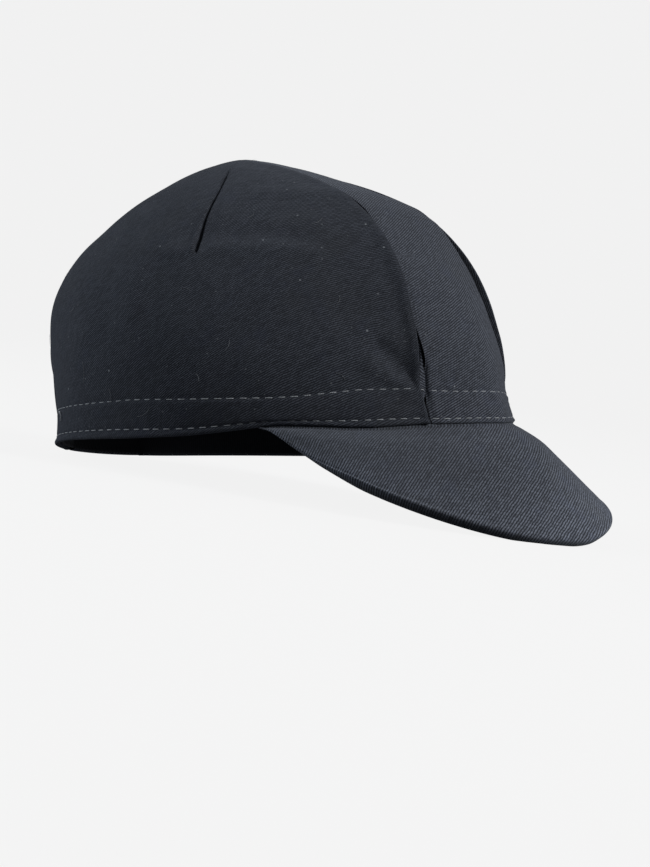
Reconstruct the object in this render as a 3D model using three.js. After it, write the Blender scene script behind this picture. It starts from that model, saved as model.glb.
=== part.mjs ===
// Cycling cap: soft cotton twill crown of two side panels and a centre strip, stiffened peak in front,
// cotton tape sweatband inside. Millimetres, +Z up, the peak points towards -Y, the wearer's right is -X.
// The cap stands by itself: on the low edge of its peak and on the back of its rim.
import * as THREE from 'three';

// ---------- driving dimensions (cap's own axes: x forward, y to the wearer's right, z up from the rim) ----------
const RIM_FRONT = 101.1;       // rim centre to the front of the rim
const RIM_BACK = 89.8;         // rim centre to the back of the rim
const RIM_SIDE = 82.8;         // half width of the rim
const RIM_EXP_FRONT = 1.62;    // superellipse exponent of the front half, under 2: a slightly pointed front
const RIM_EXP_BACK = 2.13;
const RIM_WAVE = [1.12, 0.74, -0.24]; // height of the rim: cos 2t, cos 3t, cos 4t terms
const CLOTH = 1.5;             // crown wall
const SEAM_GAP = 0.3;          // between two pieces that are sewn together
const TAPE = 1.0;              // sweatband thickness
const TAPE_SLACK = 0.7;        // between the crown's inner face and the sweatband
const TAPE_LOW = 0.8;          // sweatband's lower edge above the rim
const TAPE_HIGH = 16.5;        // sweatband's upper edge above the rim
const STRIP_CAMBER = 0.9;      // crowning of the strip between its seams
const PEAK_THICK = 3.0;
const PEAK_HALF_ANGLE = 65.4;  // rim angle at each corner of the peak, degrees
const PEAK_LENGTH = 58.9;      // from the rim to the peak's edge in the middle
const REST_TILT = 11.6;        // nose-up angle at rest, degrees
const FLATTEN = 0.9;           // how far the cloth is flattened at the back of the rim

// seam between a side panel and the strip: angle over the top from the front rim (degrees), radius, half width of
// the strip; both ends meet the rim, so their radius is the rim's
const SEAM = [
  [0, null, 32.0], [8, 85.0, 32.7], [16, 87.5, 33.1], [28, 91.2, 32.5], [42, 98.0, 30.8], [58, 103.5, 28.3],
  [75, 107.0, 26.1], [90, 110.4, 25.2], [110, 109.5, 25.3], [130, 107.6, 25.7], [155, 99.7, 25.6], [180, null, 25.0],
].map(([angle, radius, half]) => ({ angle, radius, half }));

// roundness of the side panel's upright sections: angle along the seam, share of the round profile, exponents
const ROUND_FROM_FRONT = 69, ROUND_FROM_BACK = 52.4;
const PROFILE_FRONT = { p: 1.43, q: 2.0 }, PROFILE_BACK = { p: 1.13, q: 2.82 };
// fullness of the side panel outside the round profile, low and high on the wall: at the side, front and back
const FULL_LOW = { side: 6.5, front: -0.3, back: -7.7 };
const FULL_HIGH = { side: 4.2, front: -2.5, back: 9.2 };

// dart in each side panel: share of the height from rim (0) to seam (1), angle along the seam, depth in mm,
// half width in degrees
const DART = [
  [1.00, 90.0, 0.4, 1.3], [0.90, 86.4, 0.8, 1.2], [0.80, 85.0, 1.3, 1.1], [0.70, 83.5, 2.0, 1.2],
  [0.64, 82.0, 2.2, 1.3], [0.60, 81.6, 0.0, 1.3], [0.0, 84.0, 0.0, 1.5],
].map(([height, angle, depth, half]) => ({ height, angle, depth, half }));

const CLOTH_COLOUR = 0x2b2e37, PEAK_COLOUR = 0x333741, TAPE_COLOUR = 0x17181c;

const rad = (d) => d * Math.PI / 180;
const clamp = (v, a, b) => Math.min(b, Math.max(a, v));
const smooth = (v) => { const u = clamp(v, 0, 1); return u * u * (3 - 2 * u); };

// natural cubic spline through (x, y)
function spline(xs, ys) {
  const n = xs.length, m = new Array(n).fill(0), a = [], b = [], c = [], d = [];
  for (let i = 1; i < n - 1; i++) {
    a[i] = xs[i] - xs[i - 1]; b[i] = 2 * (xs[i + 1] - xs[i - 1]); c[i] = xs[i + 1] - xs[i];
    d[i] = 6 * ((ys[i + 1] - ys[i]) / (xs[i + 1] - xs[i]) - (ys[i] - ys[i - 1]) / (xs[i] - xs[i - 1]));
  }
  for (let i = 2; i < n - 1; i++) { const w = a[i] / b[i - 1]; b[i] -= w * c[i - 1]; d[i] -= w * d[i - 1]; }
  for (let i = n - 2; i > 0; i--) m[i] = (d[i] - (i < n - 2 ? c[i] * m[i + 1] : 0)) / b[i];
  return (x) => {
    let i = 0; while (i < n - 2 && x > xs[i + 1]) i++;
    const h = xs[i + 1] - xs[i], u = (xs[i + 1] - x) / h, v = (x - xs[i]) / h;
    return u * ys[i] + v * ys[i + 1] + ((u * u * u - u) * m[i] + (v * v * v - v) * m[i + 1]) * h * h / 6;
  };
}
const linear = (rows, key, value) => (x) => {
  const r = [...rows].sort((p, q) => p[key] - q[key]);
  if (x <= r[0][key]) return r[0][value];
  for (let i = 1; i < r.length; i++) if (x <= r[i][key]) {
    const u = (x - r[i - 1][key]) / (r[i][key] - r[i - 1][key]);
    return r[i - 1][value] * (1 - u) + r[i][value] * u;
  }
  return r[r.length - 1][value];
};

const add = (a, b, s = 1) => [a[0] + b[0] * s, a[1] + b[1] * s, a[2] + b[2] * s];
const sub = (a, b) => [a[0] - b[0], a[1] - b[1], a[2] - b[2]];
const cross = (a, b) => [a[1] * b[2] - a[2] * b[1], a[2] * b[0] - a[0] * b[2], a[0] * b[1] - a[1] * b[0]];
const unit = (a) => { const l = Math.hypot(...a) || 1; return a.map((v) => v / l); };

// ---------- rim ----------
function rim(t) {
  const c = Math.cos(t), s = Math.sin(t), n = c > 0 ? RIM_EXP_FRONT : RIM_EXP_BACK, e = 2 / n;
  return [
    (c > 0 ? RIM_FRONT : RIM_BACK) * Math.sign(c) * Math.abs(c) ** e,
    RIM_SIDE * Math.sign(s) * Math.abs(s) ** e,
    RIM_WAVE[0] * Math.cos(2 * t) + RIM_WAVE[1] * Math.cos(3 * t) + RIM_WAVE[2] * Math.cos(4 * t),
  ];
}
function rimOut(t) { // outward normal of the rim in plan
  const a = rim(t - 1e-4), b = rim(t + 1e-4);
  return unit([b[1] - a[1], a[0] - b[0], 0]);
}
const rimAngle = (y, front) => { // rim angle where the rim is y from the middle
  const t = Math.asin(Math.min(1, y / RIM_SIDE) ** ((front ? RIM_EXP_FRONT : RIM_EXP_BACK) / 2));
  return front ? t : Math.PI - t;
};

// ---------- seam, strip and side panel: outer faces ----------
const T_FRONT = rimAngle(SEAM[0].half, true), T_BACK = rimAngle(SEAM[SEAM.length - 1].half, false);
SEAM[0].radius = rim(T_FRONT)[0];
SEAM[SEAM.length - 1].radius = -rim(T_BACK)[0];
const seamRadius = spline(SEAM.map((r) => rad(r.angle)), SEAM.map((r) => r.radius));
const seamHalf = spline(SEAM.map((r) => rad(r.angle)), SEAM.map((r) => r.half));
function seam(phi) {
  const f = rim(T_FRONT), b = rim(T_BACK), r = seamRadius(phi);
  const k0 = clamp(1 - phi / rad(30), 0, 1) ** 2, k1 = clamp(1 - (Math.PI - phi) / rad(30), 0, 1) ** 2;
  return [r * Math.cos(phi), seamHalf(phi), r * Math.sin(phi) + f[2] * k0 + b[2] * k1];
}
function strip(phi, eta) { // eta from -1 to 1 across the strip
  const p = seam(phi), e = Math.abs(eta), out = [Math.cos(phi), 0, Math.sin(phi)];
  const f = sub(rim(rimAngle(SEAM[0].half * e, true)), rim(T_FRONT));
  const b = sub(rim(rimAngle(SEAM[SEAM.length - 1].half * e, false)), rim(T_BACK));
  const kf = smooth(1 - phi / rad(60)), kb = smooth(1 - (Math.PI - phi) / rad(60));
  const c = STRIP_CAMBER * (1 - e * e) * (1 - kf - kb);
  return [p[0] + out[0] * c + f[0] * kf + b[0] * kb, p[1] * eta, p[2] + out[2] * c + f[2] * kf + b[2] * kb];
}
function side(phi, j) { // j from 0 at the rim to 1 at the seam
  const s = seam(phi), t = T_FRONT + (T_BACK - T_FRONT) * (1 - Math.cos(phi)) / 2, r = rim(t), n = rimOut(t);
  const round = smooth(Math.min(phi / rad(ROUND_FROM_FRONT), (Math.PI - phi) / rad(ROUND_FROM_BACK)));
  const g = smooth((phi - rad(60)) / rad(60));
  const p = PROFILE_FRONT.p * (1 - g) + PROFILE_BACK.p * g, q = PROFILE_FRONT.q * (1 - g) + PROFILE_BACK.q * g;
  const inward = (1 - round) * j + round * (1 - (1 - Math.min(1, j) ** q) ** (1 / p));
  const s2 = Math.sin(t) ** 2, c2 = Math.cos(t) ** 2, back = Math.cos(t) < 0;
  const low = FULL_LOW.side * s2 + (back ? FULL_LOW.back : FULL_LOW.front) * c2;
  const high = FULL_HIGH.side * s2 + (back ? FULL_HIGH.back : FULL_HIGH.front) * c2;
  const full = 6.75 * (low * j * (1 - j) ** 2 + high * j * j * (1 - j)) * round;
  return [r[0] + (s[0] - r[0]) * inward + n[0] * full, r[1] + (s[1] - r[1]) * inward + n[1] * full, r[2] + (s[2] - r[2]) * j];
}
function normalOf(f, u, v, du, dv, u0, u1, v0, v1) { // central difference, one sided at the borders
  const a = f(clamp(u + du, u0, u1), v), b = f(clamp(u - du, u0, u1), v);
  const c = f(u, clamp(v + dv, v0, v1)), d = f(u, clamp(v - dv, v0, v1));
  return unit(cross(sub(a, b), sub(c, d)));
}
const E = 2e-3;
const awayFromHead = (p, n) => (n[0] * p[0] + n[1] * p[1] + n[2] * (p[2] + 5) < 0 ? n.map((v) => -v) : n);
const stripNormal = (phi, eta) => {
  const h = clamp(phi, 0.01, Math.PI - 0.01);
  return awayFromHead(strip(h, eta), normalOf(strip, h, eta, E, E, 0, Math.PI, -1, 1));
};
const sideNormal = (phi, j) => { // near the rim's corners the panel narrows to a point, so the normal is taken further in
  const h = clamp(phi, 0.12, Math.PI - 0.12), k = clamp(j, 0.01, 0.985);
  return awayFromHead(side(h, k), normalOf(side, h, k, E, E, 0, Math.PI, 0, 1));
};
const seamNormal = (phi) => unit(add(stripNormal(phi, 1), sideNormal(phi, 1)));
// within a few millimetres of the seam both walls turn to the shared seam normal, so their inner faces don't cross
const SEAM_WALK = Array.from({ length: 181 }, (_, i) => ({ phi: rad(i), at: seam(rad(i)) }));
const towardsSeam = (n, p) => {
  let near = null, d = Infinity;
  for (const q of SEAM_WALK) { const l = Math.hypot(...sub(p, q.at)); if (l < d) { d = l; near = q; } }
  const w = smooth(1.25 - d / 5);
  return w > 0 ? unit(add(n.map((v) => v * (1 - w)), seamNormal(near.phi), w)) : n;
};

// ---------- the cap's own axes to the row's: nose up by the resting angle, peak towards -Y ----------
const CT = Math.cos(rad(REST_TILT)), ST = Math.sin(rad(REST_TILT));
const shift = [0, 0, 0];
function place(p) {
  const x = p[0] * CT - p[2] * ST, z = p[2] * CT + p[0] * ST;
  return [-p[1] + shift[0], -x + shift[1], Math.max(0, z + shift[2])];
}

// ---------- closed walls from an outer and an inner grid of points ----------
function wall(outer, inner, joinLastColumn = false, ring = false) {
  const n = outer.length, m = outer[0].length, pts = [], tri = [];
  const key = new Map();
  const id = (p) => {
    const k = p.map((v) => Math.round(v * 1e4)).join(' ');
    if (!key.has(k)) { key.set(k, pts.length); pts.push(p); }
    return key.get(k);
  };
  const face = (a, b, c) => { const q = [id(a), id(b), id(c)]; if (q[0] !== q[1] && q[1] !== q[2] && q[0] !== q[2]) tri.push(q); };
  const quad = (a, b, c, d) => { // split along the shorter diagonal
    if (Math.hypot(...sub(a, c)) <= Math.hypot(...sub(b, d))) { face(a, b, c); face(a, c, d); } else { face(a, b, d); face(b, c, d); }
  };
  for (let i = 0; i < n - 1; i++) for (let j = 0; j < m - 1; j++) {
    quad(outer[i][j], outer[i + 1][j], outer[i + 1][j + 1], outer[i][j + 1]);
    quad(inner[i][j], inner[i][j + 1], inner[i + 1][j + 1], inner[i + 1][j]);
  }
  for (let i = 0; i < n - 1; i++) {
    quad(outer[i][0], inner[i][0], inner[i + 1][0], outer[i + 1][0]);
    if (!joinLastColumn) quad(outer[i][m - 1], outer[i + 1][m - 1], inner[i + 1][m - 1], inner[i][m - 1]);
  }
  if (!ring) for (let j = 0; j < m - 1; j++) {
    quad(outer[0][j], outer[0][j + 1], inner[0][j + 1], inner[0][j]);
    quad(outer[n - 1][j], inner[n - 1][j], inner[n - 1][j + 1], outer[n - 1][j + 1]);
  }
  let volume = 0;
  for (const [a, b, c] of tri) { const q = cross(pts[b], pts[c]); volume += pts[a][0] * q[0] + pts[a][1] * q[1] + pts[a][2] * q[2]; }
  if (volume < 0) for (const t of tri) t.reverse();
  const g = new THREE.BufferGeometry();
  g.setAttribute('position', new THREE.Float32BufferAttribute(pts.flat(), 3));
  g.setIndex(tri.flat());
  g.computeVertexNormals();
  return g;
}
const span = (a, b, n) => Array.from({ length: n + 1 }, (_, i) => a + (b - a) * i / n);
const mirror = (p) => [p[0], -p[1], p[2]];

// ---------- side panel grids ----------
const dartAngle = linear(DART, 'height', 'angle'), dartDepth = linear(DART, 'height', 'depth'), dartHalf = linear(DART, 'height', 'half');
// angles along the seam where both pieces have their points, so that their edges run side by side
const COLUMNS = [0, 3, 7, 11, 16, 22, 28, 34, 40, 46, 52, 58, 64, 70, 76, 81, 86, 88.7, 90, 91.3, 94, 99, 104.5, 110, 116, 122, 128, 134, 140, 146, 152, 158, 163, 168, 173, 177, 180];
const SIDE_COLUMNS = COLUMNS.filter((c) => c > 5 && c < 175); // the side panel's ends narrow to nothing at the rim
const SIDE_ROWS = [0, 0.05, 0.13, 0.22, 0.32, 0.42, 0.52, 0.60, 0.64, 0.70, 0.78, 0.86, 0.93, 1];
function sidePoint(column, j) {
  // the columns near the top are led along the dart
  const lead = (dartAngle(j) - 90) * Math.exp(-(((column - 90) / 26) ** 2));
  const off = Math.abs(column - 90) < 2 ? (column - 90) / 1.3 * dartHalf(j) : column - 90;
  const phi = rad(90 + off + lead);
  const dip = column === 90 ? dartDepth(j) : 0;
  return { phi, dip };
}
function sideGrids() {
  const outer = [], inner = [];
  for (const column of SIDE_COLUMNS) {
    const a = [], b = [];
    for (const j of SIDE_ROWS) {
      const { phi, dip } = sidePoint(column, j);
      let p = side(phi, j), n = j === 1 ? seamNormal(phi) : sideNormal(phi, j);
      if (j === 0) n = rimOut(T_FRONT + (T_BACK - T_FRONT) * (1 - Math.cos(phi)) / 2);
      if (j > 0 && j < 1) n = towardsSeam(n, p);
      if (j === 1) { // the seam edge stands back by half the seam gap, square to the seam and its normal
        const along = unit(sub(seam(Math.min(Math.PI, phi + 0.01)), seam(Math.max(0, phi - 0.01))));
        let across = cross(n, along); if (across[1] < 0) across = across.map((v) => -v);
        p = add(p, across, SEAM_GAP / 2);
      }
      p = add(p, n, -dip);
      a.push(p); b.push(add(p, n, -CLOTH));
    }
    outer.push(a); inner.push(b);
  }
  return [outer, inner];
}

// ---------- centre strip grids ----------
const STRIP_ROWS = [-1, -0.75, -0.45, -0.15, 0.15, 0.45, 0.75, 1];
function stripGrids() {
  const outer = [], inner = [];
  for (const column of COLUMNS) {
    const a = [], b = [], phi = rad(column);
    for (const eta of STRIP_ROWS) {
      let p = strip(phi, eta), n = stripNormal(phi, eta);
      if (Math.abs(eta) === 1) {
        n = seamNormal(phi);
        const along = unit(sub(seam(Math.min(Math.PI, phi + 0.01)), seam(Math.max(0, phi - 0.01))));
        let across = cross(n, along); if (across[1] > 0) across = across.map((v) => -v);
        if (eta < 0) { n = mirror(n); across = mirror(across); }
        p = add(p, across, SEAM_GAP / 2);
      }
      if (column === 0 || column === 180) {
        const h = SEAM[column === 0 ? 0 : SEAM.length - 1].half;
        n = rimOut(Math.sign(eta) * rimAngle(h * Math.abs(eta), column === 0));
      }
      a.push(p); b.push(add(p, n, -CLOTH));
    }
    outer.push(a); inner.push(b);
  }
  return [outer, inner];
}

// ---------- outer face of the crown at a rim angle and a height above the rim ----------
function crownAt(t, h) {
  const aim = rim(t), azimuth = Math.atan2(Math.abs(aim[1]), aim[0]), z = aim[2] + h;
  const level = (f, lo, hi) => { // where f crosses zero between lo and hi
    const up = f(hi) > f(lo);
    for (let i = 0; i < 40; i++) { const mid = (lo + hi) / 2; if ((f(mid) > 0) === up) hi = mid; else lo = mid; }
    return (lo + hi) / 2;
  };
  const front = level((phi) => seam(phi)[2] - z, 0, 0.9), back = level((phi) => seam(phi)[2] - z, Math.PI - 0.9, Math.PI);
  const at = (p) => Math.atan2(p[1], p[0]);
  const onSide = (phi) => { const r = side(phi, 0)[2], top = seam(phi)[2]; return side(phi, clamp((z - r) / (top - r), 0, 1)); };
  let p;
  if (azimuth < at(seam(front))) p = strip(front, level((eta) => at(strip(front, eta)) - azimuth, 0, 1));
  else if (azimuth > at(seam(back))) p = strip(back, level((eta) => at(strip(back, eta)) - azimuth, 0, 1));
  else p = onSide(level((phi) => at(onSide(phi)) - azimuth, front, back));
  return aim[1] < 0 ? mirror(p) : p;
}
function bandGrids() {
  const outer = [], inner = [];
  for (const deg of span(-180, 180, 64)) {
    const a = [], b = [];
    for (const h of [TAPE_LOW, (TAPE_LOW + TAPE_HIGH) / 2, TAPE_HIGH]) {
      const t = rad(deg), l = crownAt(t - 0.02, h), p = crownAt(t, h), r = crownAt(t + 0.02, h);
      const n = unit([r[1] - l[1], l[0] - r[0], 0]);
      const o = add(p, n, -CLOTH - TAPE_SLACK);
      a.push(o); b.push(add(o, n, -TAPE));
    }
    outer.push(a); inner.push(b);
  }
  return [outer, inner];
}

// ---------- peak ----------
// outline exponents m and k, flare and skew of the outline, slope below the rim in the middle and how it changes to the
// sides, small twist, curl per 60 mm, and how far the peak's lines turn outwards (angles in degrees)
const PEAK = { m: 1.84, k: 0.48, flare: 0.47, skew: 0.17, drop: 42.0, dropSide: -23.5, dropFourth: 24.5, twist: 3.4, curl: 18.3, curlSide: 11.1, turn: 0.20 };
function peakPoint(q, v, lift) { // q from -1 to 1 across the peak, v from 0 at the rim to 1 at the edge
  const t = rad(PEAK_HALF_ANGLE) * q, a = Math.abs(q), r = rim(t), n = rimOut(t);
  const psi = PEAK.turn * Math.atan2(n[1], n[0]);
  const length = Math.max(1.2, PEAK_LENGTH * (1 - Math.min(1, a) ** PEAK.m) ** PEAK.k * (1 + PEAK.flare * a * a) * (1 + PEAK.skew * Math.sin(t)));
  const start = rad(PEAK.drop + PEAK.dropSide * a * a + PEAK.dropFourth * (a ** 4 - a * a) + PEAK.twist * Math.sin(t));
  const k = rad(PEAK.curl + PEAK.curlSide * a * a) / 60, s = v * length;
  const out = (Math.sin(start + k * s) - Math.sin(start)) / k, down = -(Math.cos(start + k * s) - Math.cos(start)) / k;
  const d = [Math.cos(psi), Math.sin(psi), 0];
  return [r[0] + d[0] * out, r[1] + d[1] * out, r[2] - down];
}
function peakGrids() {
  const top = [], under = [];
  const vs = [0, 0.04, 0.16, 0.32, 0.48, 0.64, 0.8, 0.92, 0.985];
  const qs = [-0.985, -0.96, -0.92, -0.87, -0.81, -0.74, -0.66, -0.58, -0.5, -0.42, -0.34, -0.26, -0.18, -0.1, 0, 0.1, 0.18, 0.26, 0.34, 0.42, 0.5, 0.58, 0.66, 0.74, 0.81, 0.87, 0.92, 0.96, 0.985];
  for (const q of qs) {
    const a = [], b = [];
    for (const v of vs) {
      const p = peakPoint(q, v), du = sub(peakPoint(Math.min(0.99, q + 0.01), v), peakPoint(Math.max(-0.99, q - 0.01), v));
      const dv = sub(peakPoint(q, Math.min(1, v + 0.02)), peakPoint(q, Math.max(0, v - 0.02)));
      let n = unit(cross(dv, du)); if (n[2] < 0) n = n.map((w) => -w);
      // at the rim the top face starts just under the hem's outer edge
      const w = smooth(1 - v / 0.3);
      const c = add(add(p, n, -PEAK_THICK / 2 * w), [0, 0, -SEAM_GAP * 1.2], w);
      a.push(add(c, n, PEAK_THICK / 2)); b.push(add(c, n, -PEAK_THICK / 2));
    }
    const e = peakPoint(q, 1.0); a.push(e); b.push(e);
    top.push(a); under.push(b);
  }
  return [top, under];
}

// ---------- the cap ----------
const cap = new THREE.Group();
cap.name = 'cycling_cap';
const pieces = [];
const grids = (name, [outer, inner], colour, { flip = false, join = false, ring = false } = {}) => pieces.push({ name, outer, inner, colour, flip, join, ring });
grids('crown_side_right', sideGrids(), CLOTH_COLOUR);
grids('crown_side_left', sideGrids(), CLOTH_COLOUR, { flip: true });
grids('crown_centre_strip', stripGrids(), CLOTH_COLOUR);
grids('peak', peakGrids(), PEAK_COLOUR, { join: true });
grids('sweatband', bandGrids(), TAPE_COLOUR, { ring: true });

// rest height: the back of the rim is flattened by FLATTEN, and the box is centred on the origin
let low = Infinity;
for (const g of pieces) if (g.name !== 'peak') for (const row of [...g.outer, ...g.inner]) for (const p of row) low = Math.min(low, p[2] * CT + p[0] * ST);
shift[2] = -low - FLATTEN;
const box = [[Infinity, -Infinity], [Infinity, -Infinity]];
for (const g of pieces) for (const row of [...g.outer, ...g.inner]) for (const p of row) {
  const w = place(g.flip ? mirror(p) : p);
  for (const k of [0, 1]) { box[k][0] = Math.min(box[k][0], w[k]); box[k][1] = Math.max(box[k][1], w[k]); }
}
shift[0] = -(box[0][0] + box[0][1]) / 2;
shift[1] = -(box[1][0] + box[1][1]) / 2;

for (const g of pieces) {
  const set = (grid) => grid.map((row) => row.map((p) => place(g.flip ? mirror(p) : p)));
  const mesh = new THREE.Mesh(wall(set(g.outer), set(g.inner), g.join, g.ring),
    new THREE.MeshStandardMaterial({ color: g.colour, roughness: 0.95, metalness: 0 }));
  mesh.name = g.name;
  cap.add(mesh);
}

export default cap;
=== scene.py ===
import math

import bpy
import numpy as np
from mathutils import Matrix, Vector


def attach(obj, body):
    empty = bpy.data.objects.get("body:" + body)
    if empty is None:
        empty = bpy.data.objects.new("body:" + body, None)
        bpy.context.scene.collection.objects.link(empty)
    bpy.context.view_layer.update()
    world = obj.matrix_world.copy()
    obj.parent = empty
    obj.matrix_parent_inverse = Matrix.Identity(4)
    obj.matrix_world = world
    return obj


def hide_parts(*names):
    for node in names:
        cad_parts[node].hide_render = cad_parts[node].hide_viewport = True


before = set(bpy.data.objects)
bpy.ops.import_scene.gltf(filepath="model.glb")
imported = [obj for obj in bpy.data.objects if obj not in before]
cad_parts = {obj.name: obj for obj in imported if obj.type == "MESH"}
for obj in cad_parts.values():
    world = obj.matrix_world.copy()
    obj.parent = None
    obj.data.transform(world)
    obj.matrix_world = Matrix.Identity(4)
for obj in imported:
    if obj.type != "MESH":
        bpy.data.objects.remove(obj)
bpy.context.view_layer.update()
MM = 0.001
RNG = np.random.RandomState(4)

# ------------------------------------------------------------------ small maths helpers (millimetres)


def spline(xs, ys):
    """Natural cubic spline through (xs, ys)."""
    xs, ys = np.array(xs, float), np.array(ys, float)
    n, h = len(xs), np.diff(xs)
    a, b = np.eye(n), np.zeros(n)
    for i in range(1, n - 1):
        a[i, i - 1], a[i, i], a[i, i + 1] = h[i - 1], 2 * (h[i - 1] + h[i]), h[i]
        b[i] = 6 * ((ys[i + 1] - ys[i]) / h[i] - (ys[i] - ys[i - 1]) / h[i - 1])
    m = np.linalg.solve(a, b)

    def f(x):
        i = np.clip(np.searchsorted(xs, x, side="right") - 1, 0, n - 2)
        g = xs[i + 1] - xs[i]
        u, v = (xs[i + 1] - x) / g, (x - xs[i]) / g
        return u * ys[i] + v * ys[i + 1] + ((u**3 - u) * m[i] + (v**3 - v) * m[i + 1]) * g * g / 6

    return f


def table(rows, key, value):
    """Linear reading of a column of a small table."""
    r = sorted(rows, key=lambda q: q[key])
    xs, ys = [q[key] for q in r], [q[value] for q in r]
    return lambda x: np.interp(x, xs, ys)


def smooth(v):
    u = np.clip(v, 0, 1)
    return u * u * (3 - 2 * u)


def unit(a):
    return a / np.maximum(np.linalg.norm(a, axis=-1, keepdims=True), 1e-12)


def vec(*c):
    return np.stack(np.broadcast_arrays(*c), -1).astype(float)


LATTICE = np.random.RandomState(11).rand(32, 32, 32) * 2 - 1


def noise(p, size, shift=0.0):
    """Smooth noise from -1 to 1 whose lumps are about size millimetres wide."""
    q = np.asarray(p, float) / size + 7.3 + shift
    i = np.floor(q).astype(int)
    f = q - i
    f = f * f * (3 - 2 * f)
    out = 0
    for dx in (0, 1):
        for dy in (0, 1):
            for dz in (0, 1):
                w = (f[..., 0] if dx else 1 - f[..., 0]) * (f[..., 1] if dy else 1 - f[..., 1]) * (f[..., 2] if dz else 1 - f[..., 2])
                out = out + w * LATTICE[(i[..., 0] + dx) % 32, (i[..., 1] + dy) % 32, (i[..., 2] + dz) % 32]
    return out


# ------------------------------------------------------------------ the cap's form, as the frame has it
RIM_FRONT, RIM_BACK, RIM_SIDE = 101.1, 89.8, 82.8
RIM_EXP_FRONT, RIM_EXP_BACK = 1.62, 2.13
RIM_WAVE = (1.12, 0.74, -0.24)
CLOTH = 1.5
TAPE, TAPE_SLACK, TAPE_LOW, TAPE_HIGH = 1.0, 0.7, 0.8, 16.5
STRIP_CAMBER = 0.9
PEAK_THICK, PEAK_HALF_ANGLE, PEAK_LENGTH, PEAK_DEEP = 3.0, 65.4, 58.9, 1.8
TILT = math.radians(11.6)
SHIFT = (0.0, 22.6977, 17.0040 + 1.0)
SEAM = [
    (0, None, 32.0), (8, 85.0, 32.7), (16, 87.5, 33.1), (28, 91.2, 32.5), (42, 98.0, 30.8), (58, 103.5, 28.3),
    (75, 107.0, 26.1), (90, 110.4, 25.2), (110, 109.5, 25.3), (130, 107.6, 25.7), (155, 99.7, 25.6), (180, None, 25.0),
]
ROUND_FROM_FRONT, ROUND_FROM_BACK = 69, 52.4
PROFILE_FRONT, PROFILE_BACK = (1.43, 2.0), (1.13, 2.82)
FULL_LOW = dict(side=6.5, front=-0.3, back=-7.7)
FULL_HIGH = dict(side=4.2, front=-2.5, back=9.2)
PEAK = dict(m=1.84, k=0.48, flare=0.47, skew=0.17, drop=42.0, dropSide=-23.5, dropFourth=24.5, twist=3.4, curl=18.3, curlSide=11.1, turn=0.20)


def rim(t):
    c, s = np.cos(t), np.sin(t)
    n = np.where(c > 0, RIM_EXP_FRONT, RIM_EXP_BACK)
    x = np.where(c > 0, RIM_FRONT, RIM_BACK) * np.sign(c) * np.abs(c) ** (2 / n)
    y = RIM_SIDE * np.sign(s) * np.abs(s) ** (2 / n)
    return vec(x, y, RIM_WAVE[0] * np.cos(2 * t) + RIM_WAVE[1] * np.cos(3 * t) + RIM_WAVE[2] * np.cos(4 * t))


def rim_out(t):
    a, b = rim(t - 1e-4), rim(t + 1e-4)
    return unit(vec(b[..., 1] - a[..., 1], a[..., 0] - b[..., 0], 0 * a[..., 0]))


def rim_angle(y, front):
    t = np.arcsin(np.minimum(1, y / RIM_SIDE) ** ((RIM_EXP_FRONT if front else RIM_EXP_BACK) / 2))
    return t if front else math.pi - t


T_FRONT, T_BACK = float(rim_angle(SEAM[0][2], True)), float(rim_angle(SEAM[-1][2], False))
SEAM[0] = (0, float(rim(T_FRONT)[0]), SEAM[0][2])
SEAM[-1] = (180, float(-rim(T_BACK)[0]), SEAM[-1][2])
seam_radius = spline([math.radians(r[0]) for r in SEAM], [r[1] for r in SEAM])
seam_half = spline([math.radians(r[0]) for r in SEAM], [r[2] for r in SEAM])


def seam(phi):
    f, b, r = rim(T_FRONT), rim(T_BACK), seam_radius(phi)
    k0 = np.clip(1 - phi / math.radians(30), 0, 1) ** 2
    k1 = np.clip(1 - (math.pi - phi) / math.radians(30), 0, 1) ** 2
    return vec(r * np.cos(phi), seam_half(phi), r * np.sin(phi) + f[2] * k0 + b[2] * k1)


def strip(phi, eta):
    p, e = seam(phi), np.abs(eta)
    f = rim(rim_angle(SEAM[0][2] * e, True)) - rim(T_FRONT)
    b = rim(rim_angle(SEAM[-1][2] * e, False)) - rim(T_BACK)
    kf, kb = smooth(1 - phi / math.radians(60)), smooth(1 - (math.pi - phi) / math.radians(60))
    c = STRIP_CAMBER * (1 - e * e) * (1 - kf - kb)
    return vec(
        p[..., 0] + np.cos(phi) * c + f[..., 0] * kf + b[..., 0] * kb,
        p[..., 1] * eta,
        p[..., 2] + np.sin(phi) * c + f[..., 2] * kf + b[..., 2] * kb,
    )


def side_t(phi):
    return T_FRONT + (T_BACK - T_FRONT) * (1 - np.cos(phi)) / 2


def side(phi, j):
    s, t = seam(phi), side_t(phi)
    r, n = rim(t), rim_out(t)
    rounding = smooth(np.minimum(phi / math.radians(ROUND_FROM_FRONT), (math.pi - phi) / math.radians(ROUND_FROM_BACK)))
    g = smooth((phi - math.radians(60)) / math.radians(60))
    p = PROFILE_FRONT[0] * (1 - g) + PROFILE_BACK[0] * g
    q = PROFILE_FRONT[1] * (1 - g) + PROFILE_BACK[1] * g
    inward = (1 - rounding) * j + rounding * (1 - np.maximum(0, 1 - np.minimum(1, j) ** q) ** (1 / p))
    s2, c2, back = np.sin(t) ** 2, np.cos(t) ** 2, np.cos(t) < 0
    low = FULL_LOW["side"] * s2 + np.where(back, FULL_LOW["back"], FULL_LOW["front"]) * c2
    high = FULL_HIGH["side"] * s2 + np.where(back, FULL_HIGH["back"], FULL_HIGH["front"]) * c2
    full = 6.75 * (low * j * (1 - j) ** 2 + high * j * j * (1 - j)) * rounding
    return vec(
        r[..., 0] + (s[..., 0] - r[..., 0]) * inward + n[..., 0] * full,
        r[..., 1] + (s[..., 1] - r[..., 1]) * inward + n[..., 1] * full,
        r[..., 2] + (s[..., 2] - r[..., 2]) * j,
    )


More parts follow.
